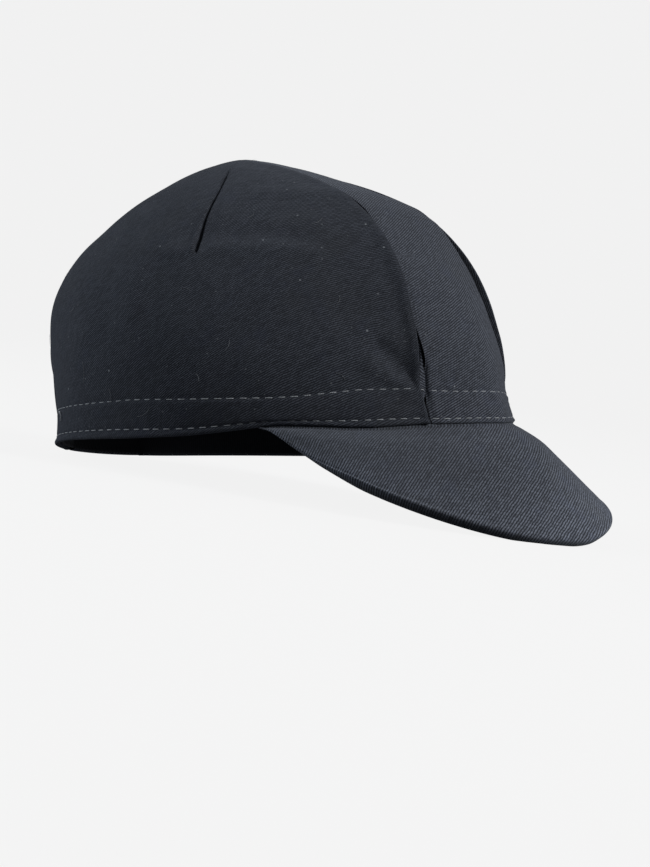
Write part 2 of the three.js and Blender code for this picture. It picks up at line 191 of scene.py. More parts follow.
def surface_normal(f, u, v, ulim, vlim, e=2e-3):
    a, b = f(np.clip(u + e, *ulim), v), f(np.clip(u - e, *ulim), v)
    c, d = f(u, np.clip(v + e, *vlim)), f(u, np.clip(v - e, *vlim))
    n = unit(np.cross(a - b, c - d))
    at = f(u, v) + [0, 0, 5]
    return np.where((n * at).sum(-1, keepdims=True) < 0, -n, n)


def strip_normal(phi, eta):
    return surface_normal(strip, np.clip(phi, 0.01, math.pi - 0.01), eta + 0 * phi, (0, math.pi), (-1, 1))


def side_normal(phi, j):
    return surface_normal(side, np.clip(phi, 0.12, math.pi - 0.12), np.clip(j, 0.01, 0.985), (0, math.pi), (0, 1))


WALK_PHI = np.linspace(0, math.pi, 1441)
WALK = seam(WALK_PHI)
WALK_N = unit(strip_normal(WALK_PHI, 1.0) + side_normal(WALK_PHI, 0 * WALK_PHI + 1.0))


def near_seam(p):
    """Distance of each point to the seam line, and where on it."""
    flat = p.reshape(-1, 3)
    d, k = np.empty(len(flat)), np.empty(len(flat), int)
    for a in range(0, len(flat), 4000):
        q = ((flat[a:a + 4000, None, :] - WALK[None, ::4, :]) ** 2).sum(-1)
        i = q.argmin(1) * 4
        best = np.full(len(i), 1e18)
        bk = i.copy()
        for o in range(-3, 4):
            c = np.clip(i + o, 0, len(WALK) - 1)
            w = ((flat[a:a + 4000] - WALK[c]) ** 2).sum(-1)
            bk = np.where(w < best, c, bk)
            best = np.minimum(w, best)
        d[a:a + 4000], k[a:a + 4000] = np.sqrt(best), bk
    return d.reshape(p.shape[:-1]), k.reshape(p.shape[:-1])


# how far the hem and the root of the peak stand up (mm) by the angle round from the front, left side positive: first
# for the whole hem, then for its bottom fold alone
LIP = [(-25, 0.0), (-12, 0.15), (-5, 0.4), (0, 0.7), (2.3, 1.1), (5.5, 1.7), (9.1, 2.4), (13.2, 3.1), (17.7, 3.6), (22.6, 3.8), (33, 3.6), (45, 2.8), (60, 1.3), (80, 0.0)]
FOLD_LIP = [
    (-140, 0.0), (-132, 0.0), (-122, -0.25), (-112, -0.5), (-102, -0.65), (-90, -0.55), (-82, -0.3), (-76, 0.2), (-70.7, 0.7), (-64.6, 1.4), (-60.5, 1.9),
    (-57, 1.9), (-52, 1.4), (-45.5, 0.7), (-40, -0.1), (-33.4, -0.5), (-27, -0.2), (-22, 0.0),
]
ring = rim(np.radians(np.linspace(-180, 180, 721)))
ring_turn, ring_r = np.degrees(np.arctan2(-ring[:, 1], ring[:, 0])), np.hypot(ring[:, 0], ring[:, 1])
ring_r, ring_turn = ring_r[np.argsort(ring_turn)], np.sort(ring_turn)


def lip(p):
    turn = np.degrees(np.arctan2(-p[..., 1], p[..., 0]))
    r = np.hypot(p[..., 0], p[..., 1])
    past = np.maximum(0, r - np.interp(turn, ring_turn, ring_r))
    z = np.maximum(0, p[..., 2])
    whole = np.interp(turn, [a for a, _ in LIP], [b for _, b in LIP]) * np.exp(-((z / 17) ** 2)) * np.exp(-((past / 22) ** 2))
    fold = np.interp(turn, [a for a, _ in FOLD_LIP], [b for _, b in FOLD_LIP]) * np.exp(-((z / 1.8) ** 2)) * np.exp(-((past / 7) ** 2))
    return whole + fold * smooth((r - 40) / 30)


def place(p):
    """From the cap's own axes to the row's, in metres."""
    c, s = math.cos(TILT), math.sin(TILT)
    up = p[..., 2] + lip(p)
    x, z = p[..., 0] * c - up * s, up * c + p[..., 0] * s
    return vec(-p[..., 1] + SHIFT[0], -x + SHIFT[1], np.maximum(z + SHIFT[2], 0.02)) * MM


# ------------------------------------------------------------------ details read from the photograph
# seam between a side panel and the strip: angle over the top (degrees), how far the side panel's fold stands proud,
# how far the strip is pulled down beside it, the groove's size, and how far the side panel and the strip are drawn
# back from the seam (mm)
GROOVE = [
    dict(phi=0, proud=0.5, sunk=0.2, width=0.9, side=0.5, front=0.45), dict(phi=3, proud=0.6, sunk=0.2, width=1.3, side=0.9, front=0.75),
    dict(phi=6.2, proud=0.4, sunk=0.2, width=1.4, side=1.15, front=1.1), dict(phi=7.1, proud=0.1, sunk=0.2, width=1.4, side=1.1, front=1.6),
    dict(phi=8.5, proud=0.2, sunk=0.2, width=2.0, side=1.2, front=2.0), dict(phi=12, proud=0.4, sunk=0.2, width=2.2, side=1.2, front=2.1),
    dict(phi=16, proud=0.6, sunk=0.3, width=1.9, side=0.7, front=1.9), dict(phi=19.5, proud=0.9, sunk=0.4, width=1.1, side=0.4, front=1.2),
    dict(phi=25, proud=1.3, sunk=0.6, width=0.6, side=0.25, front=0.45), dict(phi=33, proud=1.4, sunk=0.7, width=0.5, side=0.2, front=0.4),
    dict(phi=40, proud=1.1, sunk=0.6, width=0.4, side=0.15, front=0.3), dict(phi=50, proud=0.6, sunk=0.4, width=0.15, side=0.05, front=0.1),
    dict(phi=75, proud=0.35, sunk=0.3, width=0.05, side=0.02, front=0.04), dict(phi=180, proud=0.4, sunk=0.3, width=0.05, side=0.02, front=0.04),
]
# how far the cloth settles inward of its plain form: angle over the top (degrees), strip, side panel near its top (mm)
SETTLE = [
    dict(phi=0, strip=0.0, side=0.0), dict(phi=20, strip=0.3, side=0.0), dict(phi=34, strip=0.6, side=0.1), dict(phi=43, strip=1.5, side=0.2),
    dict(phi=50, strip=0.4, side=0.2), dict(phi=56, strip=-0.9, side=0.2), dict(phi=62, strip=-0.5, side=0.4), dict(phi=70, strip=0.9, side=0.8), dict(phi=78, strip=1.3, side=1.0),
    dict(phi=84, strip=0.9, side=0.9), dict(phi=90, strip=-0.4, side=0.2), dict(phi=96, strip=0.6, side=0.9), dict(phi=108, strip=1.2, side=1.1),
    dict(phi=128, strip=0.5, side=0.0), dict(phi=145, strip=0.0, side=-0.1), dict(phi=160, strip=0.0, side=0.0), dict(phi=180, strip=0.0, side=0.0),
]
# upper row of stitches: angle round the rim (degrees), height over the rim (mm)
UPPER = [(0, 12.5), (12, 12.4), (18, 12.3), (24, 12.6), (32, 13.5), (44, 13.9), (50, 13.1), (56, 12.3), (62, 12.1), (75, 12.8), (98, 13.6), (113, 13.0), (126, 12.7), (145, 13.0), (180, 13.2)]
LOWER = [(0, 1.9), (24, 1.9), (33, 2.4), (59, 2.5), (65, 2.3), (79, 2.5), (103, 3.0), (129, 2.9), (180, 2.8)]
STITCH_PITCH, STITCH_SHOWN, THREAD = 4.8, 0.64, 0.35
# dart in each side panel: height share, angle along the seam, depth, width of its groove (mm)
DART = [
    dict(j=1.00, angle=90.0, depth=0.0, width=0.3), dict(j=0.955, angle=88.0, depth=0.15, width=0.3), dict(j=0.93, angle=86.9, depth=0.9, width=0.34),
    dict(j=0.88, angle=85.3, depth=1.3, width=0.36), dict(j=0.80, angle=83.55, depth=2.1, width=0.50), dict(j=0.72, angle=82.1, depth=2.8, width=0.66),
    dict(j=0.672, angle=81.15, depth=3.2, width=0.82), dict(j=0.655, angle=80.9, depth=3.0, width=0.85), dict(j=0.644, angle=80.75, depth=0.0, width=0.85), dict(j=0.0, angle=83.0, depth=0.0, width=0.85),
]
# soft folds of a side panel, each a line between two places (angle along the seam, height share), with the height
# (mm, negative for a hollow) and half width (mm) of its rounded section
FOLDS = [
    dict(a=(86, 0.635), b=(58.5, 0.755), height=0.9, half=4.0),
    dict(a=(81, 0.717), b=(62, 0.795), height=-0.7, half=5.5),
    dict(a=(76, 0.90), b=(60, 1.02), height=0.5, half=4.0),
    dict(a=(37, 0.52), b=(21, 0.56), height=-1.5, half=3.6),
    dict(a=(39, 0.366), b=(24, 0.385), height=1.1, half=3.2),
    dict(a=(48, 0.55), b=(40, 0.66), height=-0.6, half=9.0),
    dict(a=(42, 0.80), b=(34, 0.70), height=0.6, half=8.0),
    dict(a=(104, 0.84), b=(90, 0.44), height=0.8, half=5.5),
    dict(a=(112, 0.86), b=(96, 0.38), height=-0.8, half=5.5),
    dict(a=(122, 0.84), b=(104, 0.36), height=0.6, half=7.0),
    dict(a=(150, 0.75), b=(140, 0.30), height=0.7, half=8.0),
]

groove = {k: table(GROOVE, "phi", k) for k in ("proud", "sunk", "width", "side", "front")}
dart_angle = spline([r["j"] for r in DART[::-1] if r["j"] not in (0.655, 0.644)], [r["angle"] for r in DART[::-1] if r["j"] not in (0.655, 0.644)])
settle = {k: table(SETTLE, "phi", k) for k in ("strip", "side")}
dart_depth, dart_width = table(DART, "j", "depth"), table(DART, "j", "width")


def row_height(rows, t):
    return np.interp(np.abs(np.degrees(t)), [r[0] for r in rows], [r[1] for r in rows])


def edge_round(d, r):
    """How far a folded edge of radius r drops at distance d from its end."""
    e = np.clip(r - d, 0, r)
    return r - np.sqrt(np.maximum(r * r - e * e, 0))


def segment_distance(p, a, b):
    ab = b - a
    u = np.clip(((p - a) @ ab) / (ab @ ab), 0, 1)
    return np.linalg.norm(p - a - u[..., None] * ab, axis=-1), u


FROM_EDGE = np.array([0, 0.12, 0.3, 0.5, 0.75, 1.05, 1.4, 1.75, 2.1, 2.4, 2.7, 3.05, 3.5, 4.2, 5.2, 6.4, 7.7, 9.0, 10.2, 11.2, 11.9, 12.4, 12.8, 13.15, 13.55, 14.0, 14.7, 15.8, 17.2])
TO_SEAM = np.array([5.8, 4.7, 3.8, 3.05, 2.45, 1.95, 1.55, 1.2, 0.9, 0.65, 0.42, 0.22, 0.09, 0.0])


def rows_between(length, middle):
    """Row places as shares of a column's length, closer at the hem and at the seam."""
    k = np.minimum(1, length / 42)
    low = FROM_EDGE * k / length
    high = 1 - TO_SEAM * k / length
    mid = low[-1] + (high[0] - low[-1]) * (np.arange(1, middle + 1) / (middle + 1))
    return np.concatenate([low, mid, high])


def hem_relief(p, h, t, along):
    """Height of the cloth over its plain form near the hem, and its stitch rows."""
    up, lo = row_height(UPPER, t), row_height(LOWER, t)
    band = smooth((up + 0.6 - h) / 1.2)
    out = 0.35 * band
    pull = 0.75 + 0.25 * np.cos(2 * math.pi * along / STITCH_PITCH)
    out = out - 0.42 * np.exp(-(((h - up) / 0.75) ** 2)) * pull
    out = out - 0.42 * np.exp(-(((h - lo) / 0.7) ** 2)) * pull
    # small puckers that fan out from both rows
    pucker = noise(vec(along, 0 * along, 0 * along), 5.2, 3.1) * 0.16 + noise(vec(along, 0 * along, h), 2.6, 5.7) * 0.07
    out = out + pucker * (np.exp(-(((h - up) / 4.5) ** 2)) + 0.8 * np.exp(-(((h - lo) / 3.0) ** 2)))
    # the fold at the bottom is a little thicker than the band
    out = out + 0.3 * np.exp(-(((h - 0.9) / 0.9) ** 2))
    return out


def rear_low(h, t):
    """The back of the cap is drawn in a little above its hem."""
    return 0.9 * np.exp(-(((h - 34) / 17) ** 2)) * smooth((np.abs(np.degrees(t)) - 112) / 26)


def cloth_lumps(p):
    """Slow unevenness of soft cloth that stands by itself."""
    return 0.55 * noise(p, 31, 0.4) + 0.30 * noise(p, 15, 2.2) + 0.10 * noise(p, 6.5, 8.8)


# ------------------------------------------------------------------ meshes


def make_mesh(name, verts, faces, uv=None, smooth_shade=True):
    me = bpy.data.meshes.new(name)
    me.from_pydata([tuple(v) for v in verts], [], [tuple(f) for f in faces])
    me.validate()
    if uv is not None:
        layer = me.uv_layers.new(name="cloth")
        index = np.empty(len(me.loops), np.int32)
        me.loops.foreach_get("vertex_index", index)
        layer.uv.foreach_set("vector", np.asarray(uv, np.float32)[index].ravel())
    me.update()
    if smooth_shade:
        me.polygons.foreach_set("use_smooth", np.ones(len(me.polygons), bool))
    ob = bpy.data.objects.new(name, me)
    bpy.context.scene.collection.objects.link(ob)
    return ob


def ring_shell(name, columns, uv, closed=False, caps=True, mirror=False):
    """A closed shell from columns of points, each column a loop."""
    n, m = columns.shape[:2]
    verts = columns.reshape(-1, 3)
    i, j = np.meshgrid(np.arange(n if closed else n - 1), np.arange(m), indexing="ij")
    i2, j2 = (i + 1) % n, (j + 1) % m
    faces = np.stack([i * m + j, i2 * m + j, i2 * m + j2, i * m + j2], -1).reshape(-1, 4)
    if mirror:
        faces = faces[:, ::-1]
    faces = [tuple(f) for f in faces.tolist()]
    if caps and not closed:
        a, b = tuple(range(m)), tuple((n - 1) * m + k for k in range(m))[::-1]
        faces += [b, a] if mirror else [a, b]
    ob = make_mesh(name, verts, faces, uv.reshape(-1, 2))
    return ob


# painted shade: a per-vertex factor that darkens the cloth's colour
def set_shade(ob, values=None):
    layer = ob.data.attributes.new("shade", "FLOAT", "POINT")
    layer.data.foreach_set("value", np.ones(len(ob.data.vertices), np.float32) if values is None else np.asarray(values, np.float32).ravel())


def outward(ob):
    """Turns every face outwards."""
    import bmesh
    bm = bmesh.new()
    bm.from_mesh(ob.data)
    bmesh.ops.recalc_face_normals(bm, faces=bm.faces)
    bm.to_mesh(ob.data)
    bm.free()
    ob.data.update()


def lengths(p, axis):
    d = np.linalg.norm(np.diff(p, axis=axis), axis=-1)
    z = np.zeros_like(np.take(d, [0], axis=axis))
    return np.concatenate([z, np.cumsum(d, axis=axis)], axis=axis)


# ---- side panels
def build_side():
    """Columns of one side panel in the cap's own axes: outer points, the plain form and its normals, and what the
    stitches need.
    """
    wide = np.concatenate([np.linspace(3.2, 20, 26)[:-1], np.linspace(20, 80, 74)[:-1], np.linspace(80, 87.6, 13)[:-1], np.linspace(87.6, 92.4, 25)[:-1], np.linspace(92.4, 100, 13)[:-1], np.linspace(100, 160, 66)[:-1], np.linspace(160, 176.8, 26)])
    phis, js = [], []
    for c in wide:
        ph0 = math.radians(c)
        probe = side(np.full(60, ph0), np.linspace(0, 1, 60))
        length = float(np.linalg.norm(np.diff(probe, axis=0), axis=-1).sum())
        share = rows_between(length, 62)
        run = np.concatenate([[0], np.cumsum(np.linalg.norm(np.diff(probe, axis=0), axis=-1))]) / length
        j = np.interp(share, run, np.linspace(0, 1, 60))
        j[0], j[-1] = 0, 1
        lead = (dart_angle(j) - 90) * math.exp(-(((c - 90) / 26) ** 2))
        phis.append(np.radians(c + lead))
        js.append(j)
    phi, j = np.array(phis), np.array(js)
    base = side(phi, j)
    t = side_t(phi)
    n = side_normal(phi, j)
    d, k = near_seam(base)
    w = smooth(1.25 - d / 5)[..., None]
    n = unit(n * (1 - w) + WALK_N[k] * w)
    hem = smooth(1 - base[..., 2] / 6 + 0.2)[..., None]
    n = unit(n * (1 - 0.7 * hem) + rim_out(t) * 0.7 * hem)
    h = base[..., 2] - rim(t)[..., 2]
    deg = np.degrees(phi)
    # distance round the rim, for the stitches and the weave
    lap = np.interp(t, RIM_T, RIM_LAP)

    relief = cloth_lumps(base) * smooth(h / 20) * smooth(d / 10)
    relief = relief + hem_relief(base, h, t, lap)
    phid = np.degrees(WALK_PHI[k])
    proud, width = groove["proud"](phid), groove["width"](phid)
    relief = relief + proud * np.exp(-((np.maximum(0, d - 1.8) / 2.6) ** 2))
    relief = relief - settle["side"](deg) * smooth((j - 0.25) / 0.5) - rear_low(h, t)
    # the fold of the seam
    relief = relief - edge_round(d, 0.55) - 0.15 * smooth(1 - d / 0.5)
    for f in FOLDS:
        a, b = (side(math.radians(q[0]), np.array(q[1])) for q in (f["a"], f["b"]))
        dist, u = segment_distance(base, a, b)
        relief = relief + f["height"] * np.exp(-((dist / f["half"]) ** 2))
    # dart: raised lip behind, groove, slow rise in front
    s = (np.degrees(phi) - dart_angle(j)) * 1.9
    depth, wd = dart_depth(j), dart_width(j)
    near = np.exp(-((s / 9.0) ** 2))
    relief = relief + depth * (0.22 * np.exp(-(((s - 1.7 * wd - 0.5) / 1.0) ** 2)) - np.exp(-(np.abs(s / wd) ** 3)) * 1.0 - 0.22 * np.exp(-(((s + 2.4) / 2.8) ** 2)))
    outer = base + n * relief[..., None]
    # the bottom edge is folded round
    outer = outer - n * edge_round(h, 0.75)[..., None]
    # the open groove beside the strip
    along = unit(WALK[np.minimum(k + 4, len(WALK) - 1)] - WALK[np.maximum(k - 4, 0)])
    across = unit(np.cross(WALK_N[k], along))
    across = np.where(across[..., 1:2] < 0, -across, across)
    outer = outer + across * ((0.12 + groove["side"](phid)) * smooth(1 - d / 4))[..., None]
    return dict(phi=phi, j=j, t=t, h=h, d=d, k=k, base=base, n=n, outer=outer, lap=lap, across=across, width=width, back=groove["side"](phid), relief=relief)


RIM_T = np.radians(np.linspace(-180, 180, 1441))
RIM_LAP = lengths(rim(RIM_T), 0)
RIM_LAP = RIM_LAP - np.interp(0, RIM_T, RIM_LAP)

SIDE = build_side()


def fold_shade(shape, outer, edge):
    """Painted shade: 1 on the outer face, low inside the fold of a seam, darkening the colour for the depth of its
    shade.
    """
    shade = np.ones(shape[:2])
    shade[:, outer - 1] = 0.35
    shade[:, outer:outer + edge] = 0.03
    shade[:, outer + edge] = 0.3
    return shade


def closer_seam(g, gap):
    """The same panel with its edge nearer to the seam."""
    less = g["back"] * (1 - gap)
    return dict(g, outer=g["outer"] - g["across"] * (less * smooth(1 - g["d"] / 4))[..., None], gap=gap)


def shell_columns(g, inner_rows=30, flange=0.0):
    """Adds the seam's turned edge, the inner face and the hem's turned edge to each outer column."""
    outer, n, base = g["outer"], g["n"], g["base"]
    m = outer.shape[1]
    top = outer[:, -1]
    ntop, across = n[:, -1], g["across"][:, -1]
    off = (0.12 + g.get("gap", 1.0) * g["back"][:, -1])[:, None]
    deep = 2.2 + 1.5 * g["width"][:, -1][:, None]
    edge = [outer[:, -1] - ntop * 0.25, base[:, -1] + across * off - ntop * (1.2 + 1.2 * g["width"][:, -1][:, None]), base[:, -1] - across * 0.12 - ntop * deep, base[:, -1] - across * 0.10 - ntop * (deep + 0.4)]
    pick = np.unique(np.round(np.linspace(m - 1, 0, inner_rows)).astype(int))[::-1]
    inner = []
    for q in pick:
        soft = (g["relief"][:, q] * 0.5)[:, None] * smooth(g["d"][:, q] / 8)[:, None] * smooth(g["h"][:, q] / 22)[:, None]
        low = edge_round(g["h"][:, q], 0.75)[:, None]
        shift = across * off if q == m - 1 else 0
        inner.append(base[:, q] + n[:, q] * (soft - CLOTH + low) + (shift if q == m - 1 else g["across"][:, q] * ((0.12 + g.get("gap", 1.0) * g["back"][:, q]) * smooth(1 - g["d"][:, q] / 4))[:, None]))
    inner[0] = base[:, -1] - ntop * (deep + 0.1) + across * 1.0
    cols = np.concatenate([outer, np.stack(edge, 1), np.stack(inner, 1)], 1)
    shade = fold_shade(cols.shape, m, len(edge))
    # painted shade: the cloth's colour is darkened within 0.35 mm of the seam where the groove is open
    shade[:, :m] *= 1 - 0.9 * smooth((0.35 - g["d"]) / 0.3) * smooth((g.get("gap", 1.0) * g["back"] - 0.4) / 0.5)
    return cols, shade


def cloth_uv(cols, g):
    v = lengths(cols, 1)
    u = np.repeat(g["u"][:, None], cols.shape[1], 1) if g["u"].ndim == 1 else g["u"]
    return np.stack([u, v], -1) * MM


# the weave runs along the panel: distance along a line at mid height
mid = lengths(side(SIDE["phi"][:, 60], np.full(SIDE["phi"].shape[0], 0.42)), 0)
SIDE["u"] = mid
cols, side_shade = shell_columns(SIDE)
uv_side = cloth_uv(cols, SIDE)
lean = np.linspace(0, 400, 801)
lean_sum = np.concatenate([[0], np.cumsum(0.40 * smooth((lean[1:] - 45) / 75)) * 0.5])
uv_side[..., 1] += np.interp(uv_side[..., 0] / MM, lean, lean_sum) * MM
right = ring_shell("side_panel_right", place(cols), uv_side)
set_shade(right, side_shade)
outward(right)
cols, side_shade = shell_columns(closer_seam(SIDE, 0.2))
m = SIDE["outer"].shape[1]
# painted shade on the left panel's turned edge: full colour at its top, dark only deeper in
side_shade[:, m - 1:m + 2] = 1.0, 0.95, 0.3
flip = cols * [1, -1, 1]
left = ring_shell("side_panel_left", place(flip), uv_side * [-1, 1], mirror=True)
set_shade(left, side_shade)
outward(left)


# ---- centre strip
def build_strip():
    eta = np.concatenate([-1 + np.array([0, 0.09, 0.22, 0.42, 0.65, 0.95, 1.3, 1.8, 2.5, 3.4, 4.6]) / 28, np.linspace(-0.8, 0.8, 34), 1 - np.array([4.6, 3.4, 2.5, 1.8, 1.3, 0.95, 0.65, 0.42, 0.22, 0.09, 0]) / 28])
    # rows over the top, closer at both hems
    probe_phi = np.linspace(0, math.pi, 721)
    run = lengths(strip(probe_phi, np.full(721, 0.6)), 0)
    total = run[-1]
    low = FROM_EDGE
    middle = np.linspace(17.2, total - 17.2, 190)[1:-1]
    s = np.concatenate([low, middle, (total - low)[::-1]])
    ph = np.interp(s, run, probe_phi)
    phi, e = np.meshgrid(ph, eta, indexing="ij")
    base = strip(phi, e)
    n = strip_normal(phi, e)
    q = base * [1, 1, 1]
    q[..., 1] = np.abs(q[..., 1])
    d, k = near_seam(q)
    w = smooth(1.25 - d / 5)[..., None]
    wn = WALK_N[k] * np.stack([np.ones_like(e), np.sign(e), np.ones_like(e)], -1)
    n = unit(n * (1 - w) + wn * w)
    front = phi < math.pi / 2
    te = np.where(front, rim_angle(SEAM[0][2] * np.abs(e), True), rim_angle(SEAM[-1][2] * np.abs(e), False)) * np.sign(e)
    h = base[..., 2] - np.where(front, strip(0 * phi, e)[..., 2], strip(0 * phi + math.pi, e)[..., 2])
    hem = smooth(1 - h / 6 + 0.2)[..., None]
    n = unit(n * (1 - 0.7 * hem) + rim_out(te) * 0.7 * hem)
    lap = np.interp(te, RIM_T, RIM_LAP)
    relief = 0.55 * cloth_lumps(base) * smooth(h / 20) * smooth(d / 8)
    relief = relief + hem_relief(base, h, te, lap)
    phid = np.degrees(WALK_PHI[k])
    sunk, width = groove["sunk"](phid), groove["width"](phid)
    relief = relief - sunk * np.exp(-((d / 2.6) ** 2)) - edge_round(d, 0.5)
    relief = relief - settle["strip"](np.degrees(phi)) * smooth(h / 30) - rear_low(h, te)
    outer = base + n * relief[..., None] - n * edge_round(h, 0.75)[..., None]
    along = unit(WALK[np.minimum(k + 4, len(WALK) - 1)] - WALK[np.maximum(k - 4, 0)])
    across = unit(np.cross(WALK_N[k], along))
    across = np.where(across[..., 1:2] > 0, -across, across) * np.stack([np.ones_like(e), np.sign(e), np.ones_like(e)], -1)
    outer = outer + across * ((0.12 + np.where(e < 0, 0.25, 1.0) * groove["front"](phid)) * smooth(1 - d / 4))[..., None]
    return dict(phi=phi, eta=e, t=te, h=h, d=d, k=k, base=base, n=n, outer=outer, lap=lap, across=across, width=width, relief=relief, s=s, front=front)


STRIP = build_strip()


def strip_shell(g):
    """The strip as a closed sheet: outer face, turned edges, inner face."""
    outer, n, base = g["outer"], g["n"], g["base"]
    off = (0.12 + np.where(g["eta"] < 0, 0.25, 1.0) * groove["front"](np.degrees(WALK_PHI[g["k"]])))[..., None]
    m = outer.shape[1]
    pick = np.unique(np.round(np.linspace(0, m - 1, 22)).astype(int))
    walls = []
    for q in (m - 1, 0):
        deep = 2.2 + 1.5 * g["width"][:, q][:, None]
        walls.append([outer[:, q] - n[:, q] * 0.25, base[:, q] + g["across"][:, q] * off[:, q] - n[:, q] * (1.2 + 1.2 * g["width"][:, q][:, None]), base[:, q] - g["across"][:, q] * 0.12 - n[:, q] * deep, base[:, q] - g["across"][:, q] * 0.10 - n[:, q] * (deep + 0.4)])
    rights, lefts = walls[0], walls[1][::-1]
    inner = []
    for q in pick[::-1]:
        low = edge_round(g["h"][:, q], 0.75)[:, None]
        p = base[:, q] + n[:, q] * (low - CLOTH)
        if q in (0, m - 1):
            p = base[:, q] + g["across"][:, q] * 1.0 - n[:, q] * (2.3 + 1.5 * g["width"][:, q][:, None])
        inner.append(p)
    cols = np.concatenate([outer, np.stack(rights, 1), np.stack(inner, 1), np.stack(lefts, 1)], 1)
    around = lengths(cols, 1)
    u = around - around[:, m // 2][:, None]
    v = np.repeat(g["s"][:, None], cols.shape[1], 1)
    # painted shade: the strip's turned edges are darkened towards near-black
    shade = np.ones(cols.shape[:2])
    shade[:, 0] = shade[:, m - 1] = 0.35
    shade[:, m:m + 4] = shade[:, -4:] = 0.03
    shade[:, m + 4] = shade[:, -5] = 0.3
    # painted shade: the outer face is darkened within 0.75 mm of the seam where the groove is open
    drawn = groove["front"](np.degrees(WALK_PHI[g["k"]])) * (g["eta"] > 0)
    shade[:, :m] *= 1 - 0.9 * smooth((0.75 - g["d"]) / 0.6) * smooth((drawn - 0.4) / 0.8)
    return cols, np.stack([u, v], -1) * MM, shade


cols, uv_strip, strip_shade = strip_shell(STRIP)
# the two hem edges are rounded by a narrow last row
strip_ob = ring_shell("centre_strip", place(cols), uv_strip)
set_shade(strip_ob, strip_shade)
outward(strip_ob)


# ---- lines round the hem on the finished cloth
def at_height(g, target, cols_first=True):
    """Place and normal on the outer cloth where the height over the rim is target (an array by column)."""
    h, p, n, b = (g["h"], g["outer"], g["n"], g["base"])
    out_p, out_n, out_b = [], [], []
    for i in range(h.shape[0]):
        order = np.argsort(h[i, :48])
        hh = h[i, :48][order]
        f = [np.interp(target[i], hh, q[i, :48, a][order]) for q in (p, n, b) for a in range(3)]
        out_p.append(f[0:3])
        out_n.append(f[3:6])
        out_b.append(f[6:9])
    return np.array(out_p), unit(np.array(out_n)), np.array(out_b)


def hem_line(height):
    """A closed line round the hem at height(t) over the rim, from the middle of the front over the right side to the
    back and home over the left. Gives place, normal and the plain form's place."""
    half_front = dict(h=STRIP["h"].T, outer=STRIP["outer"].transpose(1, 0, 2), n=STRIP["n"].transpose(1, 0, 2), base=STRIP["base"].transpose(1, 0, 2))
    back_half = {k: (v[:, ::-1]) for k, v in half_front.items()}
    c = STRIP["eta"].shape[1]
    mid_c = c // 2
    tf, tb = STRIP["t"][0], STRIP["t"][-1]
    pf = at_height(half_front, height(tf))
    pb = at_height(back_half, height(tb))
    ok = (SIDE["h"][:, :48].max(1) > height(SIDE["t"][:, 0]) + 0.05)
    ps = [a[ok] for a in at_height(SIDE, height(SIDE["t"][:, 0]))]
    # only the columns of the strip that are inside its seams at this height
    first = [a[mid_c:] for a in pf]
    last = [a[mid_c:][::-1] for a in pb]
    halves = []
    for a, s, b in zip(first, ps, last):
        halves.append(np.concatenate([a, s, b]))
    flipped = [np.concatenate([h, (h * [1, -1, 1])[::-1]]) for h in halves]
    # even steps along the line
    p = flipped[0]
    step = np.linalg.norm(np.diff(p, axis=0), axis=-1)
    keep = np.concatenate([[True], step > 0.02])
    p, nn, bb = (a[keep] for a in flipped)
    run = lengths(p, 0)
    i, j = keep[:len(first[0])].sum() - 1, keep[:len(first[0]) + len(ps[0])].sum() - 1
    seams = [(float(run[i]), float(run[i + 1])), (float(run[j]), float(run[j + 1]))]
    seams += [(float(run[-1]) - b1, float(run[-1]) - b0) for b0, b1 in seams[::-1]]
    return p, unit(nn), bb, seams


def resample(p, *others, step=0.5):
    s = lengths(p, 0)
    total = s[-1]
    q = np.arange(0, total, step)
    return [np.stack([np.interp(q, s, a[:, i]) for i in range(3)], -1) for a in (p, *others)], q, total


def tube(points, radius, sides=7, taper=True, normal=None, flat=1.0):
    """Vertices and faces of a closed thread along points."""
    points = np.asarray(points, float)
    tan = unit(np.gradient(points, axis=0))
    up = np.asarray(normal, float) if normal is not None else np.array([0, 0, 1.0])
    up = np.broadcast_to(up, points.shape)
    a = unit(np.cross(tan, up))
    b = np.cross(a, tan)
    r = np.full(len(points), radius)
    if taper:
        r[0] *= 0.45
        r[-1] *= 0.45
    ang = np.arange(sides) / sides * 2 * math.pi
    v = points[:, None, :] + (a[:, None, :] * np.cos(ang)[None, :, None] + b[:, None, :] * np.sin(ang)[None, :, None] * flat) * r[:, None, None]
    n = len(points)
    faces = [(i * sides + k, i * sides + (k + 1) % sides, (i + 1) * sides + (k + 1) % sides, (i + 1) * sides + k) for i in range(n - 1) for k in range(sides)]
    faces += [tuple(range(sides))[::-1], tuple((n - 1) * sides + k for k in range(sides))]
    return v.reshape(-1, 3), faces


class Pile:
    """Many small closed meshes in one."""

    def __init__(self):
        self.v, self.f, self.n = [], [], 0

    def add(self, v, f):
        self.v.append(v)
        self.f += [tuple(i + self.n for i in q) for q in f]
        self.n += len(v)

    def mesh(self, name):
        ob = make_mesh(name, place(np.concatenate(self.v)), self.f)
        outward(ob)
        return ob


